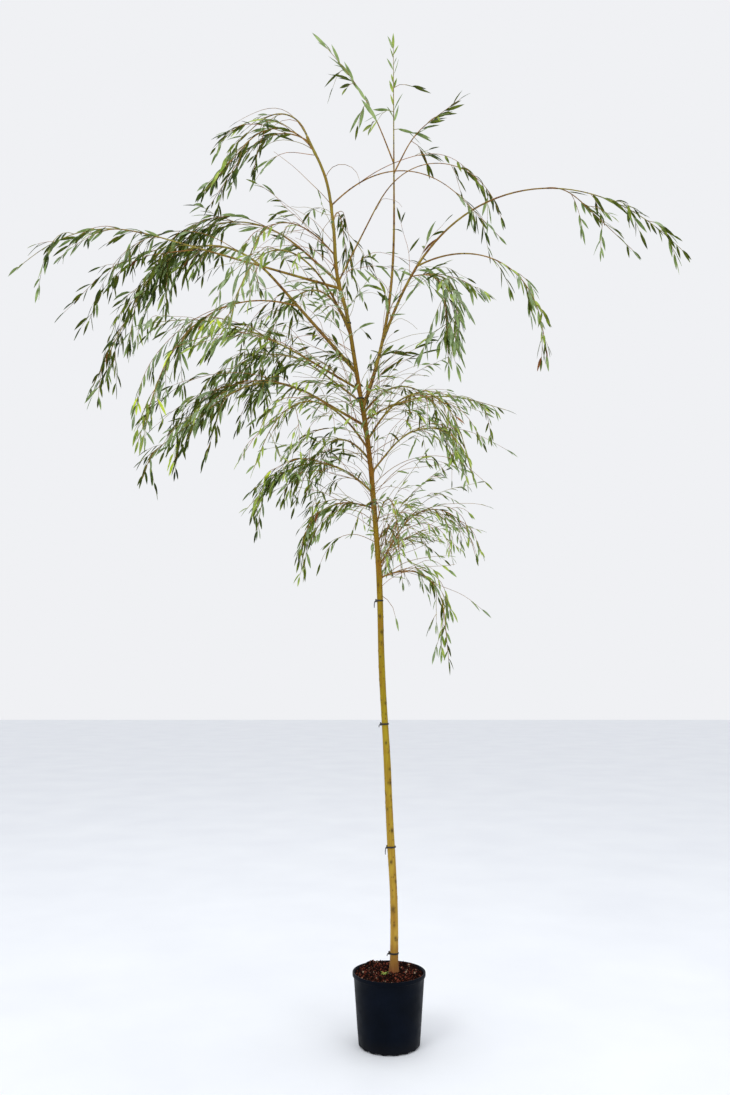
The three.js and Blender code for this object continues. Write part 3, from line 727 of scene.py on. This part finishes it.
class Limb:
    """A limb's curve, its girth, what it grows on and how it is dressed."""

    def __init__(self, index, name, row):
        self.index, self.name = index, name
        on, at, self.heading, length, self.rise, self.fall, self.turn, self.spread = row[:8]
        self.girth, self.bare, leafy, self.twig_scale = row[8:]
        self.leafy = max(self.bare, leafy)
        self.companions, self.spurs, self.fullness, self.tone = DRESS[name][:4]
        self.closeness, self.leaf, self.hang = DRESS[name][4:]
        if on == "trunk":
            self.parent, self.root = trunk_curve, share_at_height(at)
        else:
            self.parent = limbs[on].curve
            self.root = at * MM / self.parent.length
        self.foot = self.parent.at(self.root)
        self.curve = arch(
            self.foot, self.heading, (length - TIP_LEAF) * MM, self.rise, self.fall,
            self.turn, self.spread,
        )

    def radius_at(self, share):
        """The bough's own girth, then a shoot that thins faster than its solid."""
        return lerp(self.girth / 2, STEM["tip_radius"], share ** 0.8) * MM

    def lift_at(self, share):
        """How steeply the limb rises or falls at a share of its length, in degrees."""
        bent = smoothstep(share, self.turn - self.spread / 2, self.turn + self.spread / 2)
        return lerp(self.rise, self.fall, bent)

    def has_within_reach(self, curve):
        """Whether a shoot keeps to the space round this limb, with room for its leaves."""
        near = self.curve.at(np.linspace(0, 1, 28))
        ends = curve.at(np.array([0.5, 1.0]))
        gaps = np.linalg.norm(ends[:, None] - near[None], axis=2).min(axis=1)
        return gaps.max() < (TWIG["reach"] - LEAF["length"] * 0.3) * MM

    def leafiness_at(self, point):
        """Near its foot a limb is almost leafless: 0.1 there, up to 1 where its leaves begin."""
        if not self.leafy:
            return 1.0
        away = np.linalg.norm(point - self.foot) / self.curve.length
        return lerp(0.1, 1.0, smoothstep(away, 0.55 * self.leafy, 0.95 * self.leafy))


trunk_curve = through([(x * MM, 0, z * MM) for z, x in TRUNK_AXIS])
limbs = {}
for index, (name, row) in enumerate(LIMBS.items()):
    limbs[name] = Limb(index, name, row)

# ---------------------------------------------------------------- shoots


class Shoot:
    """A length of wood that bears leaves from `first` of its length on.

    It is as full of them as its limb, and thins out towards the limb's foot.
    """

    def __init__(self, limb, curve, heading, thickness, first=0.1):
        self.limb, self.curve, self.heading = limb, curve, heading
        self.radius, self.first = SHOOT["radius"] * thickness, first
        self.fullness, self.thins = limb.fullness, True

    def filled(self, fullness):
        """Has a fullness of its own instead, the same all along."""
        self.fullness, self.thins = fullness, False
        return self


def draws(step, number=0):
    """The random numbers of one step of the scene, and of one limb in it."""
    return np.random.default_rng(SEEDS[step] + number)


def branch_off(tangent, angle, side, roll):
    """A direction that leaves a stem at an angle, to one side of it, turned by `roll` degrees."""
    across = np.cross(UP, tangent)
    if across @ across < 0.01:
        across = np.array([1.0, 0.0, 0.0])
    across = unit(across - tangent * (across @ tangent))
    turn = math.radians(roll)
    across = across * math.cos(turn) + np.cross(tangent, across) * math.sin(turn)
    lean = math.radians(angle)
    return tangent * math.cos(lean) + across * side * math.sin(lean)


def branch_off_anywhere(curve, share, angles, rng):
    """A direction that leaves a curve to either side, at any roll and an angle from a range."""
    side, roll = rng.choice([-1, 1]), rng.uniform(-90, 90)
    return branch_off(curve.along(share), rng.uniform(*angles), side, roll)


def heading_of(vector):
    return math.degrees(math.atan2(vector[1], vector[0]))


def rise_of(vector):
    return math.degrees(math.asin(max(-1.0, min(1.0, vector[2]))))


def side_twigs(limb):
    """The twigs of the limb's solid, by the same draws, each grown on through its last leaf."""
    random = seeded(SEED + limb.index)
    curve, first_at = limb.curve, TWIG["first_at"] * MM
    side = 1 if random() < 0.5 else -1
    reached = limb.leafy * curve.length + first_at
    twigs = []
    while reached < curve.length - first_at:
        share = reached / curve.length
        angle, roll = lerp(*TWIG["angle"], random()), lerp(*TWIG["roll"], random())
        away = branch_off(curve.along(share), angle, side, roll)
        length = lerp(TWIG["length"], TWIG["length_at_tip"], share) * lerp(*TWIG["size"], random())
        length *= limb.twig_scale
        heading, rise = heading_of(away), rise_of(away)
        fall = lerp(rise, TWIG["hang"], lerp(*TWIG["bend"], random()))
        grown = length + GROWN_ON
        twig = arch(
            curve.at(share), heading, grown * MM, rise, fall,
            0.5 * length / grown, 1.0, TWIG["steps"], TWIG["sway"], share * TWIG["phase"],
        )
        twigs.append(Shoot(limb, twig, heading, TWIG["thickness"]))
        side = -side
        reached += TWIG["every"] * MM * lerp(*TWIG["spacing"], random())
    return twigs


def fine_shoots(parent, rng, apart=1.0, shorter=1.0, longer=1.0):
    """Finer shoots along a shoot, left and right in turn."""
    limb, curve, found = parent.limb, parent.curve, []
    every = FINE["every"] / limb.closeness * apart * MM
    lengths = FINE["shortest"] * shorter, FINE["longest"] * longer
    reached = parent.first * curve.length + every * rng.uniform(*FINE["start"])
    side = rng.choice([-1, 1])
    while reached < curve.length * FINE["to"]:
        share = reached / curve.length
        angle, roll = rng.uniform(*FINE["angle"]), rng.uniform(*FINE["roll"])
        away = branch_off(curve.along(share), angle, side, roll)
        size = rng.uniform(*lengths) * lerp(1.0, FINE["tip_size"], share) * limb.twig_scale
        heading, rise = heading_of(away), rise_of(away)
        fall = lerp(rise, TWIG["hang"], rng.uniform(*FINE["bend"]) * limb.hang)
        fine = arch(
            curve.at(share), heading, size * MM, rise, fall,
            0.5, 1.0, FINE["steps"], FINE["sway"], rng.uniform(*ANY_PHASE),
        )
        bears = rng.uniform() < limb.leafiness_at(fine.at(0.5)) + 0.1
        if bears and limb.has_within_reach(fine):
            thickness = lerp(FINE["thickness"], FINE["tip_thickness"], share)
            found.append(Shoot(limb, fine, heading, thickness))
        side = -side
        reached += every * rng.uniform(*FINE["spacing"])
    return found


def arching_shoot(kind, limb, start, heading, length, rise, fall, rng):
    """A shoot of one kind, or none where it would leave the limb's space."""
    curve = arch(
        start, heading, length, rise, fall, kind.get("turn", 0.5), kind.get("spread", 1.0),
        kind["steps"], kind["sway"], rng.uniform(*ANY_PHASE),
    )
    within = limb.has_within_reach(curve)
    return [Shoot(limb, curve, heading, kind["thickness"], kind["bare"])] if within else []


def companion_shoots(limb, rng):
    """Long shoots that leave the limb low down and arch over beside it."""
    found = []
    first = max(COMPANION["from"], limb.bare * 0.8)
    for k in range(limb.companions):
        share = lerp(first, COMPANION["to"], (k + rng.uniform(0, 0.9)) / limb.companions)
        away = branch_off_anywhere(limb.curve, share, COMPANION["angle"], rng)
        length = (1 - share) * limb.curve.length * rng.uniform(*COMPANION["size"])
        rise = lerp(rise_of(away), limb.lift_at(share), 0.5)
        fall = limb.fall - rng.uniform(*COMPANION["falls_by"])
        start, heading = limb.curve.at(share), heading_of(away)
        found += arching_shoot(COMPANION, limb, start, heading, length, rise, fall, rng)
    return found


def spur_shoots(limb, rng):
    """Thin shoots round the limb's foot, two on the limb to one beside it, bare or leafy."""
    found = []
    for k in range(limb.spurs * 3):
        if k % 3:
            share = lerp(SPUR["from"], SPUR["to"], rng.uniform() ** 1.4)
            start = limb.curve.at(share)
            away = branch_off_anywhere(limb.curve, share, SPUR["angle"], rng)
        else:
            beside = limb.root + rng.uniform(-1, 1) * SPUR["beside"] * MM / limb.parent.length
            start = limb.parent.at(min(1.0, beside))
            away = direction(limb.heading + rng.uniform(*SPUR["swing"]), rng.uniform(*SPUR["lift"]))
        heading, rise = heading_of(away), rise_of(away)
        length = rng.uniform(SPUR["shortest"], SPUR["longest"]) * MM
        fall = lerp(rise, TWIG["hang"], rng.uniform(*SPUR["bend"]))
        for shoot in arching_shoot(SPUR, limb, start, heading, length, rise, fall, rng):
            leafy = rng.uniform() < SPUR["leafy"]
            found.append(shoot.filled(SPUR["fullness"] if leafy else 0.0))
    return found


def outstanding_shoots(limb, rng):
    """The single shoots that keep to this limb's space."""
    found = []
    for height, heading, length, rise, fall, fullness in OUTSTANDING.get(limb.name, []):
        start = trunk_curve.at(share_at_height(height))
        for shoot in arching_shoot(STRAY, limb, start, heading, length * MM, rise, fall, rng):
            found.append(shoot if fullness is None else shoot.filled(fullness))
    return found


def limb_shoots(limb):
    """Every shoot that grows on a limb, the limb's own stem first."""
    rng = draws("shoots", limb.index)
    end = limb.curve.along(1.0)
    tip = Curve([*limb.curve.points, limb.curve.points[-1] + end * GROWN_ON * MM])
    stem = Shoot(limb, tip, limb.heading, limb.girth / 2 / SHOOT["radius"], limb.leafy)
    twigs = side_twigs(limb)
    beside = companion_shoots(limb, rng) + outstanding_shoots(limb, rng)
    fine = fine_shoots(stem, rng)
    for shoot in beside:
        if shoot.fullness > BEARS_FINE:
            fine += fine_shoots(shoot, rng, *FINE_ON_SHOOT)
    for shoot in twigs:
        fine += fine_shoots(shoot, rng, *FINE_ON_TWIG)
    return stem, [*twigs, *beside, *fine, *spur_shoots(limb, rng)]


# ---------------------------------------------------------------- leaves


class Leaves:
    """Collects leaves and builds them all at once."""

    def __init__(self):
        self.rows = []

    def add(self, base, heading, length, droop, roll, twist, tone, random):
        row = (*base, *heading, length, droop, roll, twist, TONES.index(tone), *random)
        self.rows.append(row)

    def blades(self, rows):
        """The corners of every leaf, its upper face and then its lower, with the tip last."""
        heading, random = rows[:, 3:6], rows[:, 11:14]
        length, droop, roll, twist = rows[:, 6:10].T
        half = LEAF["width"] * MM / 2 * (length / (LEAF["length"] * MM)) ** 0.7
        top, under = [], []
        point, reached = rows[:, 0:3], 0.0
        for share, wide in OUTLINE:
            bend = (droop * share)[:, None]
            ahead = heading * (1 - bend) - UP * bend
            ahead /= np.linalg.norm(ahead, axis=1)[:, None]
            point = point + ahead * ((share - reached) * length)[:, None]
            reached = share
            if not wide:
                top.append(point)
                under.append(point)
                continue
            across = np.cross(ahead, UP + 0.5 * random)
            across /= np.linalg.norm(across, axis=1)[:, None]
            turn = (roll + twist * share)[:, None]
            across = across * np.cos(turn) + np.cross(across, ahead) * np.sin(turn)
            normal = np.cross(across, ahead)
            out = across * (half * wide)[:, None]
            lift = normal * (half * wide)[:, None] * LEAF["hollow"]
            gap = normal * LEAF["thickness" if share else "stalk_thickness"] * MM
            corners = [point + out + lift, point, point - out + lift]
            top += corners
            under += [corner - gap for corner in corners]
        return np.stack(top + under, 1)

    def build(self, builder):
        rows = np.array(self.rows)
        last = (len(OUTLINE) - 2) * 3
        upper = []
        for a in range(0, last, 3):
            b = a + 3
            upper += [(a, b, b + 1, a + 1), (a + 1, b + 1, b + 2, a + 2)]
        upper += [(last, last + 3, last + 1), (last + 1, last + 3, last + 2)]
        lower = [tuple(index + last + 4 for index in reversed(face)) for face in upper]
        for blade, tone in zip(self.blades(rows), rows[:, 10].astype(int)):
            underside = TONES.index(LEAF_TONES[TONES[tone]][-1])
            slots = [int(tone)] * len(upper) + [underside] * len(lower)
            builder.add(blade, upper + lower, slots)


def tone_for(shoot, rng):
    """One spray's tone: mostly its limb's, sometimes another one."""
    limb = shoot.limb
    out = np.linalg.norm(shoot.curve.points[-1] - limb.foot) / limb.curve.length
    small = shoot.curve.length < FINE["longest"] * MM
    # Small sprays far out on some left limbs get the lime tone, a painted highlight where the lamp
    # falls.
    if small and out > LAMP_LIT_FROM and rng.uniform() < LAMP_LIT_TIPS.get(limb.name, 0):
        return "lime_lit"
    return rng.choice([*OTHER_TONES, limb.tone], p=[*OTHER_TONES.values(), OWN_TONE])


def leaf_tone(tone, rng):
    """A leaf's own tone: its spray's, but some are paler and a few have dried."""
    drawn = rng.uniform()
    if drawn < DRY_LEAVES:
        return "dry"
    return "grey" if drawn < PALER_LEAVES and tone != "lime_lit" else tone


def leaf_out(shoot, leaves, rng, tone):
    """Leaves along a shoot, left and right in turn, and one at its tip."""
    limb, curve = shoot.limb, shoot.curve
    count = max(2, int((1 - shoot.first) * curve.length / (LEAF["every"] * MM)))
    side = rng.choice([-1, 1])
    for k in range(count):
        share = lerp(shoot.first, 1, (k + rng.uniform(*LEAF["place"])) / count)
        side = -side
        thinned = limb.leafiness_at(curve.at(share)) if shoot.thins else 1.0
        if rng.uniform() > shoot.fullness * thinned:
            continue
        splay = LEAF["splay"] * rng.uniform(*LEAF["splay_size"]) * lerp(0.5, 1.0, limb.hang)
        away = branch_off(curve.along(share), splay, side, rng.uniform(*LEAF["turn"]))
        heading = unit(away - UP * limb.hang * rng.uniform(*LEAF["lean"]))
        size = LEAF["length"] * limb.leaf * rng.uniform(*LEAF["size"])
        size *= lerp(1.0, 0.7, smoothstep(share, 0.7, 1.0))
        leaves.add(
            curve.at(share), heading, size * MM, limb.hang * rng.uniform(*LEAF["droop"]),
            rng.uniform(*LEAF["roll"]), rng.uniform(*LEAF["twist"]), leaf_tone(tone, rng),
            rng.uniform(-1, 1, 3),
        )
    if shoot.fullness:
        size = TIP["length"] * limb.leaf * MM * rng.uniform(*TIP["size"])
        leaves.add(
            curve.at(0.99), curve.along(1.0), size, TIP["droop"], rng.uniform(*LEAF["roll"]),
            TIP["twist"], tone, rng.uniform(-1, 1, 3),
        )


# ---------------------------------------------------------------- foliage pieces


def level_across(heading):
    """The level direction square to a heading."""
    turn = math.radians(heading)
    return np.array([-math.sin(turn), math.cos(turn), 0])


def add_stem(stem, rng, boughs, wood):
    """The limb itself: knobbly wood, its bare share in one piece and the rest in another."""
    limb, across = stem.limb, level_across(stem.heading)
    rings = max(6, int(stem.curve.length / (STEM["ring_every"] * MM)))
    shares = np.linspace(0, 1, rings)
    knuckle = np.sin(np.arange(rings) * 2.1 + limb.index) * rng.uniform(0.4, 1.0, rings)
    radii = np.array([limb.radius_at(share) for share in shares])
    radii *= 1 + STEM["knuckle"] * knuckle
    centres = stem.curve.at(shares)
    cut = int(rings * limb.bare)
    if cut:
        boughs.tube(centres[:cut + 1], radii[:cut + 1], STEM["bough_sides"], across)
    tone = TWIG_TONES.index("olive" if limb.girth > STEM["olive_from"] else "tan")
    wood.tube(centres[cut:], radii[cut:], STEM["sides"], across, tone)


def add_shoot(shoot, rng, wood):
    rings = max(4, int(shoot.curve.length / (SHOOT["ring_every"] * MM)))
    radii = np.linspace(shoot.radius, SHOOT["tip_radius"], rings) * MM
    tone = TWIG_TONES.index(rng.choice(TWIG_TONES, p=TWIG_SHARES))
    centres = shoot.curve.at(np.linspace(0, 1, rings))
    wood.tube(centres, radii, SHOOT["sides"], level_across(shoot.heading), tone)


def build_region(region, names, boughs):
    """One part of the crown: a piece of twigs and a piece of leaves in place of its masses."""
    wood, leaves, foliage = Builder(), Leaves(), Builder()
    for limb in (limbs[name] for name in names):
        rng = draws("leaves", limb.index)
        stem, shoots = limb_shoots(limb)
        add_stem(stem, rng, boughs, wood)
        for shoot in [stem, *shoots]:
            leaf_out(shoot, leaves, rng, tone_for(shoot, rng))
        for shoot in shoots:
            add_shoot(shoot, rng, wood)
    leaves.build(foliage)
    twigs_piece = wood.piece(f"twigs_{region}", TWIG_BARK)
    leaves_piece = foliage.piece(f"leaves_{region}", LEAF_MATERIALS)
    masses = [f"mass_{name}" for name in names]
    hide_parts(*masses)
    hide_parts(*masses)


def build_crown():
    boughs = Builder()
    for region, names in REGIONS.items():
        build_region(region, names, boughs)
    piece = boughs.piece("boughs", [bough_material()])
    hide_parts(*[f"bough_{limb.name}" for limb in limbs.values() if limb.bare])


build_crown()

# ---------------------------------------------------------------- trunk

BACK = np.array([0.0, 1.0, 0.0])


def turned_from(angles, centre):
    """How far each angle is from a centre, from minus pi to pi."""
    return np.angle(np.exp(1j * (angles - centre)))


def knots(rng):
    """The place along the trunk, the angle round it and the size of every knot."""
    places = []
    for _ in range(KNOTS["count"]):
        size = rng.uniform(*KNOTS["size"])
        places.append((rng.uniform(0.01, 0.99), rng.uniform(0, 2 * math.pi), size))
    return places + [(share_at_height(height), *rest) for height, *rest in LARGE_KNOTS]


def build_trunk():
    rng = draws("trunk")
    sides, rings = TRUNK["sides"], TRUNK["rings"]
    shares, angles = np.linspace(0, 1, rings), round_about(sides)
    centres = trunk_curve.at(shares)
    centres[:, 0] += TRUNK["wander"] * MM * np.sin(shares * TRUNK["wander_waves"])
    ripple = sum(
        np.sin(angles * lobes + rng.uniform(*ANY_PHASE) + 3 * shares[:, None])
        for lobes in (2, 3, 5)
    )
    swell = np.sin(shares * 46 + 1.2) * np.sin(shares * 17)
    surface_share = 1 + TRUNK["ripple"] * ripple + TRUNK["swell"] * swell[:, None]
    radii = np.array([trunk_radius(share) for share in shares])[:, None] * surface_share
    stain = np.zeros((rings, sides))
    for share, angle, size in knots(rng):
        along = (shares - share) * trunk_curve.length / MM / KNOTS["longer"]
        aside = turned_from(angles, angle) * TRUNK["radius"]
        gap = np.sqrt(along[:, None] ** 2 + aside ** 2) / size
        bump = KNOTS["bump"] * np.exp(-gap ** 2)
        pit = KNOTS["pit"] * np.exp(-(gap / KNOTS["pit_width"]) ** 2)
        radii += (bump - pit) * MM
        mark = np.exp(-(gap / KNOTS["stain_width"]) ** 2) * rng.uniform(0.7, 1.0)
        stain = np.maximum(stain, mark)
    for limb in limbs.values():
        if limb.parent is trunk_curve:
            along = (shares - limb.root) * trunk_curve.length / MM
            aside = turned_from(angles, math.radians(limb.heading - 90))
            collar = np.exp(-(along / TRUNK["collar_height"]) ** 2)[:, None]
            collar = collar * np.exp(-(aside / TRUNK["collar_width"]) ** 2)
            radii += TRUNK["collar"] * MM * collar
    builder = Builder()
    builder.tube(centres, radii, sides, BACK)
    piece = builder.piece("trunk_bark", [bark_material()])
    layer = piece.data.color_attributes.new("knot", "FLOAT_COLOR", "POINT")
    values = np.zeros((builder.count, 4))
    values[1:-1, 0] = stain.reshape(-1)
    values[:, 3] = 1
    layer.data.foreach_set("color", values.reshape(-1))
    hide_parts("trunk")


build_trunk()

# ---------------------------------------------------------------- ties


def add_band(builder, centre, axis, side, radius):
    """A flat ring round the trunk with slanted edges."""
    half, thick, sides = TIE["height"] * MM / 2, TIE["thickness"] * MM, TIE["sides"]
    section = [(-half, 0), (-half * 0.8, thick), (half * 0.8, thick), (half, 0)]
    front = np.cross(axis, side)
    vertices, faces = [], []
    for j, angle in enumerate(round_about(sides)):
        out = side * math.cos(angle) + front * math.sin(angle)
        vertices += [centre + axis * z + out * (radius + r) for z, r in section]
        a, b = j * 4, (j + 1) % sides * 4
        faces += [(a + i, b + i, b + (i + 1) % 4, a + (i + 1) % 4) for i in range(4)]
    builder.add(vertices, faces)


def build_ties():
    """Rubber bands round the trunk, each with a loose tail and a buckle on its -X side."""
    builder = Builder()
    for number, height in enumerate(TIE_HEIGHTS):
        share = share_at_height(height)
        centre, axis = trunk_curve.at(share), trunk_curve.along(share)
        side = unit(np.cross(BACK, axis))
        radius = trunk_radius(share) + TIE["clear"] * MM
        add_band(builder, centre, axis, side, radius)
        start = centre - side * (radius + TIE["thickness"] * MM * 0.6)
        drop = TIE["long_tail" if number in TIE["long_tails"] else "tail"]
        tail = [(0, 0, 2), (6, 2, 0), (9, drop * 0.6, 0), (9, drop, 0)]
        tail = [start - (side * x + axis * z + BACK * y) * MM for x, z, y in tail]
        builder.tube(tail, np.array(TIE["tail_radii"]) * MM, 8, BACK)
        buckle = [start - (side * 0.5 + axis * z) * MM for z in (TIE["buckle"], -TIE["buckle"])]
        builder.tube(buckle, np.full(2, TIE["buckle_radius"] * MM), 6, BACK)
    piece = builder.piece("ties", [tie_material()])
    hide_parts(*[f"tie_{i}" for i in range(1, 5)])


build_ties()

# ---------------------------------------------------------------- pot and compost


def pot_radius(height):
    """The radius of the pot's outer face at a height, both in millimetres."""
    slope = (POT["rim_radius"] - POT["lip_proud"] - POT["base_radius"]) / POT["height"]
    return POT["base_radius"] + slope * height


def pot_profile():
    """From the middle of the underside, out and up to the rim and down the inside again."""
    outer, wall, height, rim = pot_radius, POT["wall"], POT["height"], POT["rim_radius"]
    lip, foot, floor = height - POT["lip_height"], POT["foot_round"], POT["floor"] + 1.5
    return [
        (0, 6), (60, 6), (100, 5), (118, 2), (outer(0) - foot, 0), (outer(0) - foot * 0.5, 0.8),
        (outer(0) - 2.2, 3), (outer(foot) - 0.3, 6.5), (outer(foot), foot), (outer(60), 60),
        *[(outer(z), z) for z in range(80, 260, 20)],
        (outer(lip) - 0.1, lip - 2.5), (outer(lip) + 1.2, lip - 0.4), (rim - 0.6, lip + 0.6),
        (rim, lip + 1.8), (rim, height - 3), (rim - 0.5, height - 1), (rim - 1.6, height),
        (rim - 4, height - 0.4), (outer(height) - wall, height - 1.6),
        *[(outer(z) - wall, z) for z in (270, 200, 100, floor + 2.5)],
        (outer(POT["floor"]) - wall - 6, floor), (60, floor), (0, floor),
    ]


def build_pot():
    builder = Builder()
    builder.lathe([(radius * MM, z * MM) for radius, z in pot_profile()], POT["sides"])
    vertices = builder.vertices[0]
    radius = np.hypot(vertices[:, 0], vertices[:, 1])
    angle = np.arctan2(vertices[:, 1], vertices[:, 0])
    low = np.clip(1 - vertices[:, 2] / (SCALLOPS["reach"] * MM), 0, 1) * (radius > 0.1)
    scallop = low * (0.5 + 0.5 * np.cos(angle * SCALLOPS["count"]))
    vertices[:, 2] += scallop * SCALLOPS["cut"] * MM * (radius < 0.1285)
    oval = np.sin(angle * 3 + 1) * np.clip(1 - vertices[:, 2] / 0.28, 0, 1)
    shrink = 1 - SCALLOPS["drawn_in"] * scallop - SCALLOPS["out_of_round"] * oval
    vertices[:, :2] *= shrink[:, None]
    piece = builder.piece("pot_shell", [pot_material()])
    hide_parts("pot")


SOIL_EDGE = (pot_radius(SOIL["edge_top"]) - POT["wall"] - 0.4) * MM


def soil_height(x, y):
    """The compost's surface: a low heap round the stem, banked against the back of the rim."""
    radius, angle = math.hypot(x, y), math.atan2(y, x)
    bank = sum(high * math.exp(-((angle - at) / wide) ** 2) for high, at, wide in SOIL["banks"])
    bank *= smoothstep(radius, 0.085, 0.135)
    fall = smoothstep(radius, SOIL["flat_radius"] * MM, 0.147)
    rough = sum(
        high * math.sin(waves * x + phase) * math.cos(waves * y + 1.7 * phase)
        for high, waves, phase in SOIL["waves"]
    )
    return (lerp(SOIL["top"] + 1.0, SOIL["edge_top"] - 1.0, fall) + bank + rough) * MM


def build_compost(rng):
    sides, circles, under = SOIL["sides"], SOIL["circles"], SOIL["under"] * MM
    foot = (pot_radius(10) - POT["wall"] - 0.8) * MM
    vertices = [(0, 0, soil_height(0, 0))]
    for i in range(1, circles + 1):
        for x, y, _ in circle(SOIL_EDGE * i / circles, 0, sides):
            grain = rng.normal(0, SOIL["grain"] * MM) * (i < circles)
            vertices.append((x, y, soil_height(x, y) + grain))
    vertices += [*circle(foot, under, sides), (0, 0, under)]
    faces = [(0, 1 + j, 1 + (j + 1) % sides) for j in range(sides)]
    for i in range(circles):
        a, b = 1 + i * sides, 1 + (i + 1) * sides
        faces += [(a + j, b + j, b + (j + 1) % sides, a + (j + 1) % sides) for j in range(sides)]
    last = 1 + circles * sides
    faces += [(last + j, len(vertices) - 1, last + (j + 1) % sides) for j in range(sides)]
    builder = Builder()
    builder.add(vertices, faces)
    dark = compost_material("compost_dark", "080301", "2a0f06")
    piece = builder.piece("compost", [dark], smooth=False)
    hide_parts("soil")


def build_crumbs(rng):
    """Loose crumbs on the compost, each an uneven octahedron."""
    crumbs = Builder()
    corners = np.array([
        (1, 0, 0), (-1, 0, 0), (0, 1, 0), (0, -1, 0), (0, 0, 1), (0, 0, -1),
    ], float)
    eight = [
        (0, 2, 4), (2, 1, 4), (1, 3, 4), (3, 0, 4), (2, 0, 5), (1, 2, 5), (3, 1, 5), (0, 3, 5),
    ]
    for _ in range(CRUMBS["count"]):
        radius = (SOIL_EDGE - CRUMBS["from_wall"] * MM) * math.sqrt(rng.uniform())
        angle = rng.uniform(0, 2 * math.pi)
        x, y = radius * math.cos(angle), radius * math.sin(angle)
        size = rng.choice(CRUMBS["sizes"], p=CRUMBS["size_shares"]) * MM
        shape = corners * rng.uniform(0.5, 1.2, (6, 1)) * size * rng.uniform(0.5, 1.3, 3)
        turn = np.array(Euler(rng.uniform(*ANY_PHASE, 3)).to_matrix())
        place = (x, y, soil_height(x, y) + size * CRUMBS["proud"])
        tone = int(rng.choice([0, 1, 2], p=CRUMBS["tone_shares"]))
        crumbs.add(shape @ turn.T + place, eight, tone)
    piece = crumbs.piece("compost_crumbs", [
        compost_material("crumb_dark", "060302", "200c06"),
        compost_material("crumb_brown", "4a1d10", "8c4836"),
        compost_material("crumb_pale", "7d6550", "b39c86"),
    ], smooth=False)


def build_seedling():
    """A small weed seedling beside the stem."""
    rng = draws("seedling")
    builder, leaves = Builder(), Leaves()
    x, y, count = SEEDLING["x"] * MM, SEEDLING["y"] * MM, SEEDLING["leaves"]
    centre = np.array([x, y, soil_height(x, y) + SEEDLING["above"] * MM])
    for k in range(count):
        turn = k * 360 / count + rng.uniform(-10, 10)
        heading = unit(direction(turn, rng.uniform(15, 50)))
        length = rng.uniform(*SEEDLING["size"]) * MM
        leaves.add(centre, heading, length, 0.4, 0.1, 0.0, "fresh", (0, 0, 0))
    leaves.build(builder)
    piece = builder.piece("seedling", LEAF_MATERIALS)


build_pot()
compost_draws = draws("compost")
build_compost(compost_draws)
build_crumbs(compost_draws)
build_seedling()

# ---------------------------------------------------------------- floor, light and camera

# Metres: half the floor's width, how far it lies under the pot, and each light's place, width,
# power in watts and the point it faces.
FLOOR = {"half": 30.0, "under": 0.0005}
LIGHTS = {
    "key": ((-3.5, -5.0, 6.0), 3.0, 150, (0, 0, 2.4)),
    "fill": ((4.0, -4.5, 4.0), 3.0, 50, (0, 0, 2.2)),
    "top": ((0.5, 0.5, 8.0), 4.0, 90, (0, 0, 2.0)),
}
SKY = "f0f1f4"

# The camera stands low in front of the tree and looks up by `tilt` degrees. The lens is in
# millimetres, on an upright 24 by 36 mm frame.
CAMERA = {"place": (-0.1015, -4.18, 1.524), "tilt": 7.84, "lens": 30.9, "frame": (24.0, 36.0)}


def build_stage():
    half = FLOOR["half"]
    mesh = bpy.data.meshes.new("floor")
    corners = [(-half, -half, 0), (half, -half, 0), (half, half, 0), (-half, half, 0)]
    mesh.from_pydata(corners, [], [(0, 1, 2, 3)])
    mesh.materials.append(floor_material())
    floor = into_scene("floor", mesh)
    floor.location.z = -FLOOR["under"]


def build_light():
    world = bpy.data.worlds.new("studio")
    world.use_nodes = True
    background = world.node_tree.nodes["Background"]
    background.inputs["Color"].default_value = hexed(SKY)
    background.inputs["Strength"].default_value = 1.0
    bpy.context.scene.world = world
    for name, (location, width, power, target) in LIGHTS.items():
        light = bpy.data.lights.new(name, "AREA")
        light.shape = "RECTANGLE"
        light.size = light.size_y = width
        light.energy = power
        lamp = into_scene(name, light)
        lamp.location = location
        aim = Vector(target) - Vector(location)
        lamp.rotation_euler = aim.to_track_quat("-Z", "Y").to_euler()
    bpy.context.scene.view_settings.view_transform = "Standard"


def build_camera():
    camera = bpy.data.cameras.new("camera")
    camera.sensor_fit = "VERTICAL"
    camera.sensor_width, camera.sensor_height = CAMERA["frame"]
    camera.lens = CAMERA["lens"]
    place = into_scene("camera", camera)
    place.location = CAMERA["place"]
    place.rotation_euler = (math.radians(90 + CAMERA["tilt"]), 0, 0)
    bpy.context.scene.camera = place


build_stage()
build_light()
build_camera()
